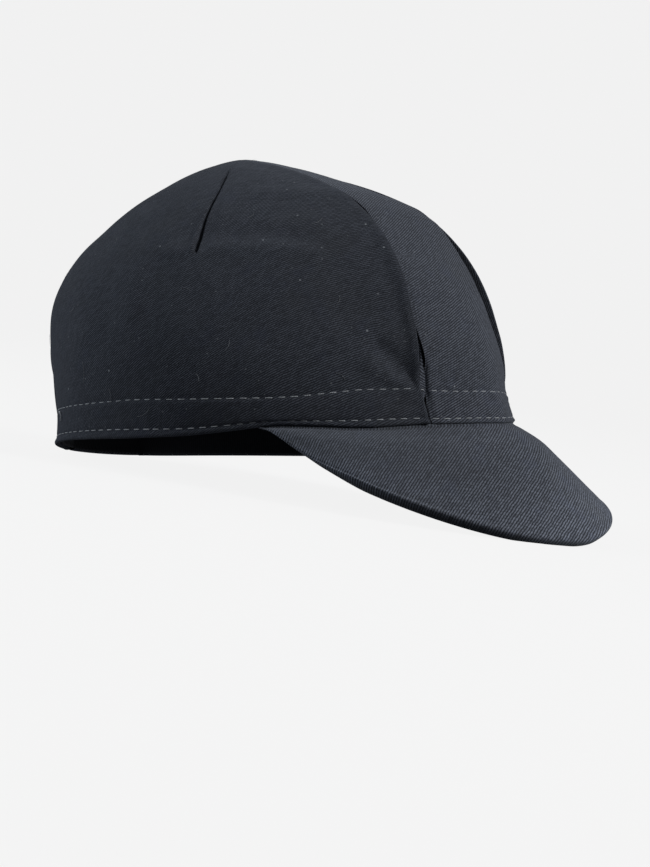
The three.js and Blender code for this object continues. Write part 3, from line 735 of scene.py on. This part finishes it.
def stitch_row(pile, line, normal, shown, pitch, radius, start=0.0, lift=0.05, jitter=0.05, rng=RNG, bridges=()):
    (p, n), q, total = resample(line, normal)
    n = unit(n)
    count = int(round(total / pitch))
    pitch = total / count
    for i in range(count):
        a = (start + i * pitch + rng.uniform(-jitter, jitter) * pitch) % total
        length = pitch * (shown + rng.uniform(-0.05, 0.05))
        if any(a + length > b0 and a < b1 for b0, b1 in bridges):
            continue
        s = np.linspace(0, 1, 8)
        at = (a + s * length) % total
        c = np.stack([np.interp(at, q, p[:, k]) for k in range(3)], -1)
        c = c[:1] + (c[-1:] - c[:1]) * s[:, None]
        m = unit(np.stack([np.interp(at, q, n[:, k]) for k in range(3)], -1))
        # a straight, tight thread that dips into the cloth at both ends
        bow = (1 - (2 * s - 1) ** 4) * 0.42 - 0.30
        c = c + m * (bow[:, None] * 1.0 + lift)
        v, f = tube(c, radius * rng.uniform(0.92, 1.06), sides=6, normal=m[3], flat=0.85)
        pile.add(v, f)
    for b0, b1 in bridges:
        if b1 - b0 < 1.0:
            continue
        ends = [np.array([np.interp(x, q, p[:, k]) for k in range(3)]) + unit(np.array([np.interp(x, q, n[:, k]) for k in range(3)])) * 0.02 for x in (b0, b1)]
        s = np.linspace(0, 1, 8)[:, None]
        m = unit(np.array([np.interp((b0 + b1) / 2, q, n[:, k]) for k in range(3)]))
        v, f = tube(ends[0] + (ends[1] - ends[0]) * s + m * (0.22 - 0.5 * (2 * s - 1) ** 6), radius, sides=6, normal=m)
        pile.add(v, f)


threads = Pile()
up_line, up_n, _, up_seam = hem_line(lambda t: row_height(UPPER, t))
lo_line, lo_n, _, lo_seam = hem_line(lambda t: row_height(LOWER, t))
# one stitch of the upper row crosses the seam of the right panel
stitch_row(threads, up_line, up_n, STITCH_SHOWN, STITCH_PITCH, THREAD / 2, start=(up_seam[0][0] - 6.3) % STITCH_PITCH, jitter=0.03, bridges=[(b0 - 0.9, b1 + 0.3) if k in (0, 3) else (b0 - 0.2, b1 + 0.2) for k, (b0, b1) in enumerate(up_seam)])
stitch_row(threads, lo_line, lo_n, STITCH_SHOWN, STITCH_PITCH, THREAD / 2, start=(lo_seam[0][0] - 3.9) % STITCH_PITCH, bridges=[(b0 + 0.1, b0 + 0.8) for b0, b1 in lo_seam])
# a loose end of thread at the back of the right panel
LOOSE = [(-5.6, 10.6), (-4.8, 11.1), (-3.6, 11.2), (-2.5, 10.6), (-2.1, 9.6), (-2.6, 8.6), (-3.4, 7.9), (-3.7, 7.4)]
loose_i = int(np.abs(np.degrees(SIDE["t"][:, 12]) - 127).argmin())
loose = []
for du, hh in LOOSE:
    q = int(np.abs(SIDE["h"][loose_i] - hh).argmin())
    p0, n0 = SIDE["outer"][loose_i, q], SIDE["n"][loose_i, q]
    forward = unit(SIDE["outer"][loose_i - 2, q] - p0)
    loose.append(p0 + forward * du + n0 * 0.55)
loose_v, loose_f = tube(np.array(loose), 0.22, sides=6, normal=SIDE["n"][loose_i, 20])
threads.add(loose_v, loose_f)
hem_threads = threads.mesh("hem_stitches")


# ---- sweatband: ribbed tape
def build_band():
    rings = []
    heights = [TAPE_LOW, TAPE_LOW + 0.5, 3.0, 6.0, 9.0, 12.0, TAPE_HIGH - 1.2, TAPE_HIGH - 0.4, TAPE_HIGH]
    for hh in heights:
        p, n, b, _ = hem_line(lambda t, hh=hh: 0 * t + hh)
        s = lengths(b, 0)
        total = s[-1] + float(np.linalg.norm(b[0] - b[-1]))
        q = np.arange(1400) / 1400 * total
        bb = np.stack([np.interp(q, np.append(s, total), np.append(b[:, k], b[0, k])) for k in range(3)], -1)
        flat = np.roll(bb, -3, 0) - np.roll(bb, 3, 0)
        nn = unit(np.stack([flat[:, 1], -flat[:, 0], 0 * flat[:, 0]], -1))
        nn = np.where((nn * bb).sum(-1, keepdims=True) < 0, -nn, nn)
        k = np.hanning(31)
        k /= k.sum()
        ext = np.concatenate([nn[-15:], nn, nn[:15]])
        nn = unit(np.stack([np.convolve(ext[:, c], k, "valid") for c in range(3)], -1))
        rings.append((bb, nn, q))
    rib = [0.5 + 0.5 * np.cos(2 * math.pi * q / 2.9) for _, _, q in rings]
    outer = [b - n * (CLOTH + TAPE_SLACK) for b, n, _ in rings]
    inner = []
    for i, (b, n, q) in enumerate(rings):
        soft = 0.0 if i in (0, len(rings) - 1) else 0.22
        inner.append(b - n * (CLOTH + TAPE_SLACK + TAPE - 0.25 + soft * rib[i])[:, None])
    cols = np.stack(outer + inner[::-1], 1)
    uv = np.stack([np.repeat(rings[0][2][:, None], cols.shape[1], 1), np.repeat((lengths(cols[:1], 1))[0][None, :], cols.shape[0], 0)], -1) * MM
    return cols, uv


cols, uv_band = build_band()
band = ring_shell("sweatband_tape", place(cols), uv_band, closed=True)
outward(band)


# ---- peak
def peak_angle(q):
    """Angle round the rim of the peak's ray q; its two ends stop a little short."""
    return math.radians(PEAK_HALF_ANGLE) * q * (1 - 0.022 * q**8)


def peak_point(q, v):
    t, a = peak_angle(q), np.abs(q)
    r, n = rim(t), rim_out(t)
    psi = PEAK["turn"] * np.arctan2(n[..., 1], n[..., 0])
    length = peak_length(q)
    far = smooth(-q / 0.35) * smooth((1.0 + q) / 0.3) * 0.4
    start = np.radians(-far + PEAK["drop"] + PEAK["dropSide"] * a * a + PEAK["dropFourth"] * (a**4 - a * a) + PEAK["twist"] * np.sin(t))
    k, s = np.radians(PEAK["curl"] + PEAK["curlSide"] * a * a) / 60, v * length
    out, down = (np.sin(start + k * s) - np.sin(start)) / k, -(np.cos(start + k * s) - np.cos(start)) / k
    return vec(r[..., 0] + np.cos(psi) * out, r[..., 1] + np.sin(psi) * out, r[..., 2] - down)


def peak_length(q):
    t, a = math.radians(PEAK_HALF_ANGLE) * q, np.abs(q)
    return np.maximum(1.2, (1 - 0.85 * smooth((a - 0.955) / 0.045)) * PEAK_LENGTH * (1 - np.minimum(1, a) ** PEAK["m"]) ** PEAK["k"] * (1 + PEAK["flare"] * a * a) * (1 + PEAK["skew"] * np.sin(t)))


def build_peak():
    x = np.linspace(-1, 1, 171)
    q1 = 0.9993 * np.sin(x * math.pi / 2)
    n_v = 62
    share = np.linspace(0, 1, n_v)
    last = np.array([3.2, 2.5, 1.9, 1.45, 1.1, 0.8, 0.55, 0.35, 0.2, 0.09, 0.03, 0.0])
    cols_top, cols_low = [], []
    length = peak_length(q1)
    vs = []
    for L in length:
        k = min(1, L / 14)
        inner_end = 1 - last[0] * k / L
        vs.append(np.concatenate([share[:-1] * inner_end, 1 - last * k / L]))
    v = np.array(vs)
    q = np.repeat(q1[:, None], v.shape[1], 1)
    p = peak_point(q, v)
    qn = np.clip(q, -0.965, 0.965)
    du = peak_point(qn + 0.01, v) - peak_point(qn - 0.01, v)
    dv = peak_point(qn, np.minimum(1, v + 0.02)) - peak_point(qn, np.maximum(0, v - 0.02))
    n = unit(np.cross(dv, du))
    n = np.where(n[..., 2:3] < 0, -n, n)
    w = smooth(1 - v / 0.3)[..., None]
    L = np.repeat(length[:, None], v.shape[1], 1)
    end = (0.12 + 0.88 * smooth((1 - np.abs(q)) / 0.13))[..., None]
    c = p - n * (PEAK_THICK / 2) * w * end + np.array([0, 0, -0.36]) * w * end
    d = (1 - v) * L  # distance to the edge
    R = np.minimum(1.5, 0.45 * L)
    e = np.clip(1 - d / R, 0, 1)
    half = PEAK_THICK / 2 * np.maximum(0, 1 - e**2.6) ** (1 / 2.6) * end[..., 0]
    c = c + vec(0, 0, -0.55 * np.exp(-((v * L / 2.4) ** 2)) * smooth(L / 8))
    lumps = 0.16 * noise(p, 22, 4.1) + 0.10 * noise(p, 9, 1.9)
    lumps = lumps * smooth(d / 3) * smooth(v * L / 4)
    # the cover is drawn down slightly just inside the edge, where the board ends
    ridge = 0.18 * np.exp(-(((d - 1.4) / 0.8) ** 2)) - 0.22 * np.exp(-(((d - 3.6) / 1.3) ** 2))
    ridge = ridge * smooth(L / 20)
    top = c + n * (half + lumps + ridge)[..., None]
    deep = PEAK_DEEP * smooth(L / 16) * smooth(v * L / 12)
    low = c - n * (half * (1 + deep / 1.5) - 0.5 * lumps + 0.5 * ridge)[..., None]
    # the root is turned in and up against the underside of the hem
    root = rim(peak_angle(q1)) - rim_out(peak_angle(q1)) * 1.0 + vec(0, 0, 0.35)
    cols = np.concatenate([top, low[:, ::-1][:, 1:], root[:, None]], 1)
    # the cover laid flat: across the rays, and out along them
    line = peak_point(q1, np.full_like(q1, 0.45))
    ray = unit(peak_point(q1, np.full_like(q1, 0.5)) - peak_point(q1, np.full_like(q1, 0.4)))
    step = np.diff(line, axis=0)
    out = (step * (ray[1:] + ray[:-1]) / 2).sum(-1)
    side_step = np.sqrt(np.maximum((step**2).sum(-1) - out**2, 0))
    flat_u, flat_v = np.concatenate([[0], np.cumsum(side_step)]), np.concatenate([[0], np.cumsum(out)])
    flat_u, flat_v = flat_u - flat_u[len(q1) // 2], flat_v - flat_v[len(q1) // 2]
    uvt = np.stack([flat_u[:, None] + 0 * v, flat_v[:, None] + (v - 0.45) * L], -1)
    uvl = uvt[:, ::-1][:, 1:]
    # painted light and shade: the top's colour is darker towards the root, on the near side and right at the edge, and
    # lighter towards the tip; the underside's colour is darkened near its edge
    begin = 0.45 * smooth((q + 0.35) / 0.7)
    painted_shade_top = (0.68 + 0.32 * smooth((v - begin) / (1 - begin))) * (0.6 + 0.4 * smooth(d / 0.6))
    painted_shade_top = painted_shade_top * (1 - 0.28 * smooth((q - 0.05) / 0.6))
    painted_shade_under = 0.15 + 0.6 * smooth((d - 1.5) / 6)
    shade = np.concatenate([painted_shade_top, painted_shade_under[:, ::-1][:, 1:], painted_shade_under[:, :1]], 1)
    return cols, np.concatenate([uvt, uvl, uvt[:, :1]], 1) * MM, dict(top=top, n=n, p=p, shade=shade)


cols, uv_peak, PEAK_GRID = build_peak()
peak_ob = ring_shell("peak_cover", place(cols), uv_peak)
set_shade(peak_ob, PEAK_GRID["shade"])
outward(peak_ob)

# ---- lint and a loose end of thread: places on the right panel (angle along the seam, height share), mm long, turn
LINT = [
    dict(at=(104, 0.20), long=9, turn=80, bend=0.5), dict(at=(96, 0.12), long=6, turn=70, bend=0.8), dict(at=(88, 0.07), long=8, turn=20, bend=0.4),
    dict(at=(70, 0.30), long=5, turn=60, bend=0.6), dict(at=(74, 0.18), long=4, turn=100, bend=0.9), dict(at=(60, 0.86), long=5, turn=30, bend=0.6),
    dict(at=(72, 0.80), long=4, turn=40, bend=0.9), dict(at=(103, 0.72), long=4, turn=120, bend=0.5), dict(at=(112, 0.5), long=5, turn=10, bend=0.7),
    dict(at=(50, 0.6), long=4, turn=70, bend=0.8), dict(at=(45, 0.25), long=5, turn=140, bend=0.6), dict(at=(80, 0.5), long=4, turn=160, bend=0.5),
    dict(at=(130, 0.35), long=5, turn=50, bend=0.6), dict(at=(140, 0.6), long=6, turn=110, bend=0.5), dict(at=(30, 0.7), long=4, turn=20, bend=0.6),
]


def hair(pile, p, n, long, turn, bend, radius=0.05, lift=0.1):
    side_dir = unit(np.cross(n, [0, 0, 1.0]))
    up_dir = np.cross(side_dir, n)
    a = math.radians(turn)
    pts = []
    x = np.zeros(3)
    for i in range(11):
        s = i / 10
        ang = a + bend * 2.2 * (s - 0.5)
        if i:
            x = x + (side_dir * math.cos(ang) + up_dir * math.sin(ang)) * long / 10
        pts.append(p + x + n * (lift + 0.5 * math.sin(math.pi * s) * bend * 0.5))
    v, f = tube(np.array(pts), radius, sides=5, normal=n)
    pile.add(v, f)


lint = Pile()
for r in LINT:
    i = int(np.abs(np.degrees(SIDE["phi"][:, 60]) - r["at"][0]).argmin())
    q = int(np.abs(SIDE["j"][i] - r["at"][1]).argmin())
    p, n = SIDE["outer"][i, q], SIDE["n"][i, q]
    hair(lint, p, n, r["long"], r["turn"], r["bend"])
rng = np.random.RandomState(21)
for _ in range(22):  # the rest of the cap
    i, q = rng.randint(70, SIDE["phi"].shape[0] - 40), rng.randint(30, 80)
    p, n = SIDE["outer"][i, q] * [1, -1, 1], SIDE["n"][i, q] * [1, -1, 1]
    hair(lint, p, n, rng.uniform(2.5, 6), rng.uniform(0, 180), rng.uniform(0.3, 0.9))
for _ in range(12):
    i, q = rng.randint(34, STRIP["phi"].shape[0] - 30), rng.randint(24, 44)
    hair(lint, STRIP["outer"][i, q], STRIP["n"][i, q], rng.uniform(2, 5), rng.uniform(0, 180), rng.uniform(0.3, 0.9), radius=0.045)
lint_ob = lint.mesh("lint")

# ------------------------------------------------------------------ materials


class Nodes:
    def __init__(self, name):
        self.mat = bpy.data.materials.new(name)
        self.mat.use_nodes = True
        self.tree = self.mat.node_tree
        self.bsdf = self.tree.nodes["Principled BSDF"]

    def add(self, kind, **inputs):
        node = self.tree.nodes.new(kind)
        for k, v in inputs.items():
            if hasattr(node, k):
                setattr(node, k, v)
        return node

    def link(self, a, b):
        self.tree.links.new(a, b)

    def math(self, op, a, b=None, c=None, clamp=False):
        node = self.tree.nodes.new("ShaderNodeMath")
        node.operation, node.use_clamp = op, clamp
        for i, x in enumerate((a, b, c)):
            if x is None:
                continue
            if isinstance(x, (int, float)):
                node.inputs[i].default_value = x
            else:
                self.link(x, node.inputs[i])
        return node.outputs[0]

    def mix(self, fac, a, b):
        node = self.tree.nodes.new("ShaderNodeMix")
        node.data_type = "RGBA"
        ins = [s for s in node.inputs if s.type == "RGBA"]
        if isinstance(fac, (int, float)):
            node.inputs[0].default_value = fac
        else:
            self.link(fac, node.inputs[0])
        for s, x in zip(ins, (a, b)):
            if isinstance(x, tuple):
                s.default_value = (*x, 1)
            else:
                self.link(x, s)
        return [s for s in node.outputs if s.type == "RGBA"][0]

    def noise(self, vector, scale, detail=2.0, rough=0.5):
        node = self.add("ShaderNodeTexNoise")
        node.inputs["Scale"].default_value = scale
        node.inputs["Detail"].default_value = detail
        node.inputs["Roughness"].default_value = rough
        self.link(vector, node.inputs["Vector"])
        return node.outputs["Fac"]

    def ramp(self, value, low, high):
        node = self.tree.nodes.new("ShaderNodeMapRange")
        node.interpolation_type = "SMOOTHSTEP"
        self.link(value, node.inputs["Value"])
        node.inputs["From Min"].default_value = low
        node.inputs["From Max"].default_value = high
        return node.outputs["Result"]


def twill(name, dark, light, angle, pitch=0.00088, contrast=1.0, specks=1.0, tint=0.5, sheen=0.10, specular=0.22):
    """Cotton twill: diagonal ridges of short floats, each its own shade, over slow patches and pale lint specks."""
    m = Nodes(name)
    uv = m.add("ShaderNodeUVMap")
    uv.uv_map = "cloth"
    turn = m.add("ShaderNodeMapping")
    turn.inputs["Rotation"].default_value = (0, 0, math.radians(angle))
    m.link(uv.outputs[0], turn.inputs["Vector"])
    sep = m.add("ShaderNodeSeparateXYZ")
    m.link(turn.outputs[0], sep.inputs[0])
    obj = m.add("ShaderNodeTexCoord").outputs["Object"]
    wobble = m.noise(obj, 240, 2)
    across = m.math("ADD", m.math("DIVIDE", sep.outputs["Y"], pitch), m.math("MULTIPLY", wobble, 0.7))
    ridge = m.math("MULTIPLY_ADD", m.math("SINE", m.math("MULTIPLY", across, 2 * math.pi)), 0.5, 0.5)
    row = m.math("FLOOR", m.math("ADD", across, 0.25))
    # floats: each ridge is a line of short yarns, staggered from row to row
    along = m.math("ADD", m.math("DIVIDE", sep.outputs["X"], pitch * 2.0), m.math("MULTIPLY", row, 0.377))
    cell = m.math("FLOOR", along)
    at = m.add("ShaderNodeCombineXYZ")
    m.link(row, at.inputs[0])
    m.link(cell, at.inputs[1])
    white = m.add("ShaderNodeTexWhiteNoise")
    white.noise_dimensions = "2D"
    m.link(at.outputs[0], white.inputs["Vector"])
    body = m.math("POWER", m.math("ABSOLUTE", m.math("SINE", m.math("MULTIPLY", along, math.pi))), 0.45)
    stretch = m.add("ShaderNodeMapping")
    stretch.inputs["Scale"].default_value = (1 / 0.0040, 1 / 0.0011, 1)
    m.link(turn.outputs[0], stretch.inputs["Vector"])
    yarn = m.noise(stretch.outputs[0], 1.0, 2)
    fine = m.noise(obj, 1900, 2, 0.65)
    level = m.math("MULTIPLY", ridge, m.math("MULTIPLY_ADD", body, 0.55, 0.45))
    level = m.math("MULTIPLY", level, m.math("MULTIPLY_ADD", white.outputs["Value"], 0.50, 0.60))
    level = m.math("MULTIPLY", level, m.math("MULTIPLY_ADD", yarn, 0.5, 0.75))
    grain = m.math("MULTIPLY", m.math("SUBTRACT", fine, 0.5), 1.1)
    height = m.math("ADD", level, m.math("MULTIPLY", grain, 0.4))
    fac = m.math("ADD", m.math("MULTIPLY_ADD", m.math("SUBTRACT", level, 0.30), contrast, 0.30), grain, clamp=True)
    colour = m.mix(fac, dark, light)
    # slow variation: patches slightly warmer, bluer, darker
    slow = m.noise(obj, 34, 3, 0.55)
    slow2 = m.noise(obj, 90, 3, 0.6)
    warm = tuple(c * k for c, k in zip(light, (0.50, 0.47, 0.40)))
    blue = tuple(c * k for c, k in zip(light, (0.46, 0.50, 0.66)))
    colour = m.mix(m.math("MULTIPLY", m.ramp(slow, 0.50, 0.72), 0.40 * tint), colour, warm)
    colour = m.mix(m.math("MULTIPLY", m.ramp(slow2, 0.52, 0.75), 0.40 * tint), colour, blue)
    # lint: small pale specks, most faint
    cell = m.add("ShaderNodeTexVoronoi")
    cell.inputs["Scale"].default_value = 150
    cell.inputs["Randomness"].default_value = 1.0
    m.link(obj, cell.inputs["Vector"])
    bw = m.add("ShaderNodeSeparateColor")
    m.link(cell.outputs["Color"], bw.inputs[0])
    dot = m.math("SUBTRACT", 1.0, m.ramp(cell.outputs["Distance"], 0.03, 0.080))
    chosen = m.ramp(bw.outputs[0], 0.62, 0.98)
    speck = m.math("MULTIPLY", m.math("MULTIPLY", dot, chosen), 0.75 * specks)
    cell2 = m.add("ShaderNodeTexVoronoi")
    cell2.inputs["Scale"].default_value = 420
    m.link(obj, cell2.inputs["Vector"])
    bw2 = m.add("ShaderNodeSeparateColor")
    m.link(cell2.outputs["Color"], bw2.inputs[0])
    dust = m.math("MULTIPLY", m.math("MULTIPLY", m.math("SUBTRACT", 1.0, m.ramp(cell2.outputs["Distance"], 0.05, 0.20)), m.ramp(bw2.outputs[1], 0.78, 1.0)), 0.40 * specks)
    colour = m.mix(m.math("MAXIMUM", speck, dust), colour, (0.19, 0.205, 0.22))
    # painted shade: the mesh's shade attribute darkens the colour towards near-black inside seam grooves, beside open
    # seams and over parts of the peak
    depth = m.add("ShaderNodeAttribute")
    depth.attribute_name = "shade"
    colour = m.mix(depth.outputs["Fac"], (0.001, 0.001, 0.0012), colour)
    m.link(colour, m.bsdf.inputs["Base Color"])
    rough = m.math("MULTIPLY_ADD", m.math("SUBTRACT", 1.0, level), 0.12, 0.84)
    m.link(rough, m.bsdf.inputs["Roughness"])
    m.bsdf.inputs["Specular IOR Level"].default_value = specular
    m.bsdf.inputs["Sheen Weight"].default_value = sheen
    m.bsdf.inputs["Sheen Roughness"].default_value = 0.55
    m.bsdf.inputs["Sheen Tint"].default_value = (0.72, 0.80, 0.95, 1)
    bump = m.add("ShaderNodeBump")
    bump.inputs["Strength"].default_value = 0.55
    bump.inputs["Distance"].default_value = 0.00022
    m.link(m.math("ADD", height, m.math("MULTIPLY", slow2, 0.8)), bump.inputs["Height"])
    m.link(bump.outputs[0], m.bsdf.inputs["Normal"])
    return m.mat


DARK, LIGHT = (0.0065, 0.0075, 0.0105), (0.066, 0.0745, 0.094)
# painted light and shade: the peak's twill is a lighter copy (2.05 times) and the side panels' a darker copy (0.70
# times) of the same cloth, for how the light falls on them; the strip's is 1.03 times
PEAK_PAINTED_LIGHT = tuple(c * 2.05 for c in LIGHT)
SIDE_PAINTED_SHADE = tuple(c * 0.70 for c in LIGHT)
panel_cloth = twill("twill_side_painted_shade", DARK, SIDE_PAINTED_SHADE, 22, 0.00092, contrast=1.2, sheen=0.055, specular=0.13)
panel_cloth_left = twill("twill_side_left", DARK, SIDE_PAINTED_SHADE, 22, 0.00092, contrast=1.2, sheen=0.055, specular=0.13)
strip_cloth = twill("twill_strip", DARK, tuple(c * 1.03 for c in LIGHT), 26, 0.00083, contrast=1.3, sheen=0.085, specular=0.19)
peak_cloth = twill("twill_peak_painted_light", DARK, PEAK_PAINTED_LIGHT, -30, 0.00101, contrast=1.15)


def thread_material():
    m = Nodes("grey_thread")
    obj = m.add("ShaderNodeTexCoord").outputs["Object"]
    fine = m.noise(obj, 2600, 2)
    colour = m.mix(fine, (0.10, 0.108, 0.122), (0.30, 0.32, 0.34))
    m.link(colour, m.bsdf.inputs["Base Color"])
    m.bsdf.inputs["Roughness"].default_value = 0.7
    m.bsdf.inputs["Sheen Weight"].default_value = 0.2
    bump = m.add("ShaderNodeBump")
    bump.inputs["Strength"].default_value = 0.5
    bump.inputs["Distance"].default_value = 0.0001
    twist = m.add("ShaderNodeTexWave")
    twist.inputs["Scale"].default_value = 600
    m.link(obj, twist.inputs["Vector"])
    m.link(twist.outputs["Fac"], bump.inputs["Height"])
    m.link(bump.outputs[0], m.bsdf.inputs["Normal"])
    return m.mat


def lint_material():
    m = Nodes("pale_lint")
    obj = m.add("ShaderNodeTexCoord").outputs["Object"]
    colour = m.mix(m.noise(obj, 900, 2), (0.07, 0.077, 0.085), (0.17, 0.18, 0.19))
    m.link(colour, m.bsdf.inputs["Base Color"])
    m.bsdf.inputs["Roughness"].default_value = 0.85
    return m.mat


def tape_material():
    """Ribbed cotton tape, nearly black."""
    m = Nodes("ribbed_tape")
    uv = m.add("ShaderNodeUVMap")
    uv.uv_map = "cloth"
    sep = m.add("ShaderNodeSeparateXYZ")
    m.link(uv.outputs[0], sep.inputs[0])
    obj = m.add("ShaderNodeTexCoord").outputs["Object"]
    rib = m.math("MULTIPLY_ADD", m.math("SINE", m.math("MULTIPLY", sep.outputs["X"], 2 * math.pi / 0.00097)), 0.5, 0.5)
    weft = m.math("MULTIPLY_ADD", m.math("SINE", m.math("MULTIPLY", sep.outputs["Y"], 2 * math.pi / 0.0005)), 0.5, 0.5)
    fine = m.noise(obj, 1200, 2)
    level = m.math("MULTIPLY", m.math("MULTIPLY_ADD", rib, 0.7, 0.3), m.math("MULTIPLY_ADD", weft, 0.4, 0.6))
    level = m.math("ADD", level, m.math("MULTIPLY", m.math("SUBTRACT", fine, 0.5), 0.5), clamp=True)
    m.link(m.mix(level, (0.004, 0.0045, 0.006), (0.018, 0.020, 0.026)), m.bsdf.inputs["Base Color"])
    m.bsdf.inputs["Roughness"].default_value = 0.92
    m.bsdf.inputs["Specular IOR Level"].default_value = 0.2
    m.bsdf.inputs["Sheen Weight"].default_value = 0.05
    bump = m.add("ShaderNodeBump")
    bump.inputs["Strength"].default_value = 0.6
    bump.inputs["Distance"].default_value = 0.0002
    m.link(level, bump.inputs["Height"])
    m.link(bump.outputs[0], m.bsdf.inputs["Normal"])
    return m.mat


def shadow_material():
    """Painted shadow for the inside of a seam's groove: a near-black colour with no specular."""
    m = Nodes("seam_shadow")
    obj = m.add("ShaderNodeTexCoord").outputs["Object"]
    m.link(m.mix(m.noise(obj, 900, 2), (0.0008, 0.0008, 0.001), (0.002, 0.002, 0.0024)), m.bsdf.inputs["Base Color"])
    m.bsdf.inputs["Roughness"].default_value = 1.0
    m.bsdf.inputs["Specular IOR Level"].default_value = 0.0
    return m.mat


thread_mat, lint_mat, tape_mat, shadow_mat = thread_material(), lint_material(), tape_material(), shadow_material()
for ob, mat in ((right, panel_cloth), (left, panel_cloth_left), (strip_ob, strip_cloth), (peak_ob, peak_cloth), (band, tape_mat), (hem_threads, thread_mat), (lint_ob, lint_mat)):
    ob.data.materials.append(mat)

# painted shadow: faces whose every vertex has shade under 0.36 get the near-black seam_shadow material
for ob in (right, left, strip_ob):
    ob.data.materials.append(shadow_mat)
    shade = np.zeros(len(ob.data.vertices), np.float32)
    ob.data.attributes["shade"].data.foreach_get("value", shade)
    for face in ob.data.polygons:
        if max(shade[k] for k in face.vertices) < 0.36:
            face.material_index = 1

# ------------------------------------------------------------------ what stands for what
for ob, node, slot in ((right, "crown_side_right", "crown_cloth"), (left, "crown_side_left", "crown_cloth"), (strip_ob, "crown_centre_strip", "crown_cloth"), (peak_ob, "peak", "peak_cloth"), (band, "sweatband", "sweatband_tape")):
    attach(ob, "root")
    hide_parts(node)
for ob in (hem_threads, lint_ob):
    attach(ob, "root")

# ------------------------------------------------------------------ floor, light, camera


def stage_material():
    m = Nodes("pale_paper")
    obj = m.add("ShaderNodeTexCoord").outputs["Object"]
    grain = m.noise(obj, 60, 3)
    m.link(m.mix(grain, (0.029, 0.029, 0.029), (0.031, 0.031, 0.031)), m.bsdf.inputs["Base Color"])
    m.bsdf.inputs["Roughness"].default_value = 0.95
    m.bsdf.inputs["Specular IOR Level"].default_value = 0.05
    m.bsdf.inputs["Emission Color"].default_value = (1.0, 1.0, 1.0, 1)
    m.bsdf.inputs["Emission Strength"].default_value = 0.872
    return m.mat


def build_stage():
    """A round floor that curves up into a backdrop on every side."""
    profile = [(0.0, 0.0), (0.25, 0.0), (0.6, 0.0), (1.2, 0.0), (2.0, 0.0), (2.8, 0.0)]
    r, c = 1.2, (2.8, 1.2)
    profile += [(c[0] + r * math.sin(a), c[1] - r * math.cos(a)) for a in np.linspace(0.1, math.pi / 2, 14)]
    profile += [(4.0, 2.2), (4.0, 3.4)]
    seg = 96
    verts = [(0, 0, 0)]
    for x, z in profile[1:]:
        verts += [(x * math.cos(2 * math.pi * k / seg), x * math.sin(2 * math.pi * k / seg), z) for k in range(seg)]
    faces = [(0, 1 + k, 1 + (k + 1) % seg) for k in range(seg)]
    for i in range(len(profile) - 2):
        a, b = 1 + i * seg, 1 + (i + 1) * seg
        faces += [(a + k, b + k, b + (k + 1) % seg, a + (k + 1) % seg) for k in range(seg)]
    ob = make_mesh("stage_floor", verts, faces)
    ob.data.materials.append(stage_material())
    ob.visible_diffuse = False
    ob.visible_glossy = False
    return ob


stage = build_stage()

# camera: measured in the cap's own axes
THETA, EPS, RHO, DIST, FOCAL, UX, UY = math.radians(57.67), math.radians(-3.95), math.radians(-1.03), 1158.3, 2905.37, -45.19, 9.29
cd = np.array([math.cos(THETA) * math.cos(EPS), math.sin(THETA) * math.cos(EPS), math.sin(EPS)])
rt = np.array([math.sin(THETA), -math.cos(THETA), 0])
upv = np.array([-math.cos(THETA) * math.sin(EPS), -math.sin(THETA) * math.sin(EPS), math.cos(EPS)])
r_ = rt * math.cos(RHO) + upv * math.sin(RHO)
u_ = -rt * math.sin(RHO) + upv * math.cos(RHO)


def turn_only(v):
    c, s = math.cos(TILT), math.sin(TILT)
    x, z = v[0] * c - v[2] * s, v[2] * c + v[0] * s
    return np.array([-v[1], -x, z])


origin = turn_only(cd * DIST) + np.array(SHIFT)
cam_data = bpy.data.cameras.new("photo_camera")
cam = bpy.data.objects.new("photo_camera", cam_data)
bpy.context.scene.collection.objects.link(cam)
R, U, B = turn_only(r_), turn_only(u_), turn_only(cd)
cam.matrix_world = Matrix(((R[0], U[0], B[0], origin[0] * MM), (R[1], U[1], B[1], origin[1] * MM), (R[2], U[2], B[2], origin[2] * MM), (0, 0, 0, 1)))
cam_data.sensor_width = 36
cam_data.lens = FOCAL * 36 / 867
cam_data.shift_x = -UX / 867
cam_data.shift_y = UY / 867
cam_data.clip_start, cam_data.clip_end = 0.05, 30
bpy.context.scene.camera = cam


def area(name, at, size, power, colour=(1, 1, 1), aim=(0, 0, 0.06)):
    data = bpy.data.lights.new(name, "AREA")
    data.shape, data.size, data.size_y = "RECTANGLE", size[0], size[1]
    data.energy, data.color = power, colour
    ob = bpy.data.objects.new(name, data)
    ob.location = at
    ob.rotation_mode = "QUATERNION"
    ob.rotation_quaternion = (Vector(aim) - Vector(at)).to_track_quat("-Z", "Y")
    bpy.context.scene.collection.objects.link(ob)
    return ob


# front of the cap is -Y, the camera is at -X -Y
area("key", (0.22, -1.53, 1.00), (0.9, 0.9), 35.5, (1.0, 0.99, 0.98))
area("fill", (-1.05, 1.40, 0.60), (1.2, 1.0), 23, (0.90, 0.95, 1.0))
area("rim", (0.5, 1.7, 0.9), (1.2, 1.0), 2.5, (0.95, 0.98, 1.0))
area("top", (0.75, 0.25, 1.75), (1.2, 1.2), 3.2, (1, 1, 1))

world = bpy.data.worlds.new("studio")
bpy.context.scene.world = world
world.use_nodes = True
world.node_tree.nodes["Background"].inputs["Color"].default_value = (0.9, 0.93, 1.0, 1)
world.node_tree.nodes["Background"].inputs["Strength"].default_value = 0.15
bpy.context.scene.view_settings.view_transform = "Standard"
bpy.context.scene.view_settings.look = "None"
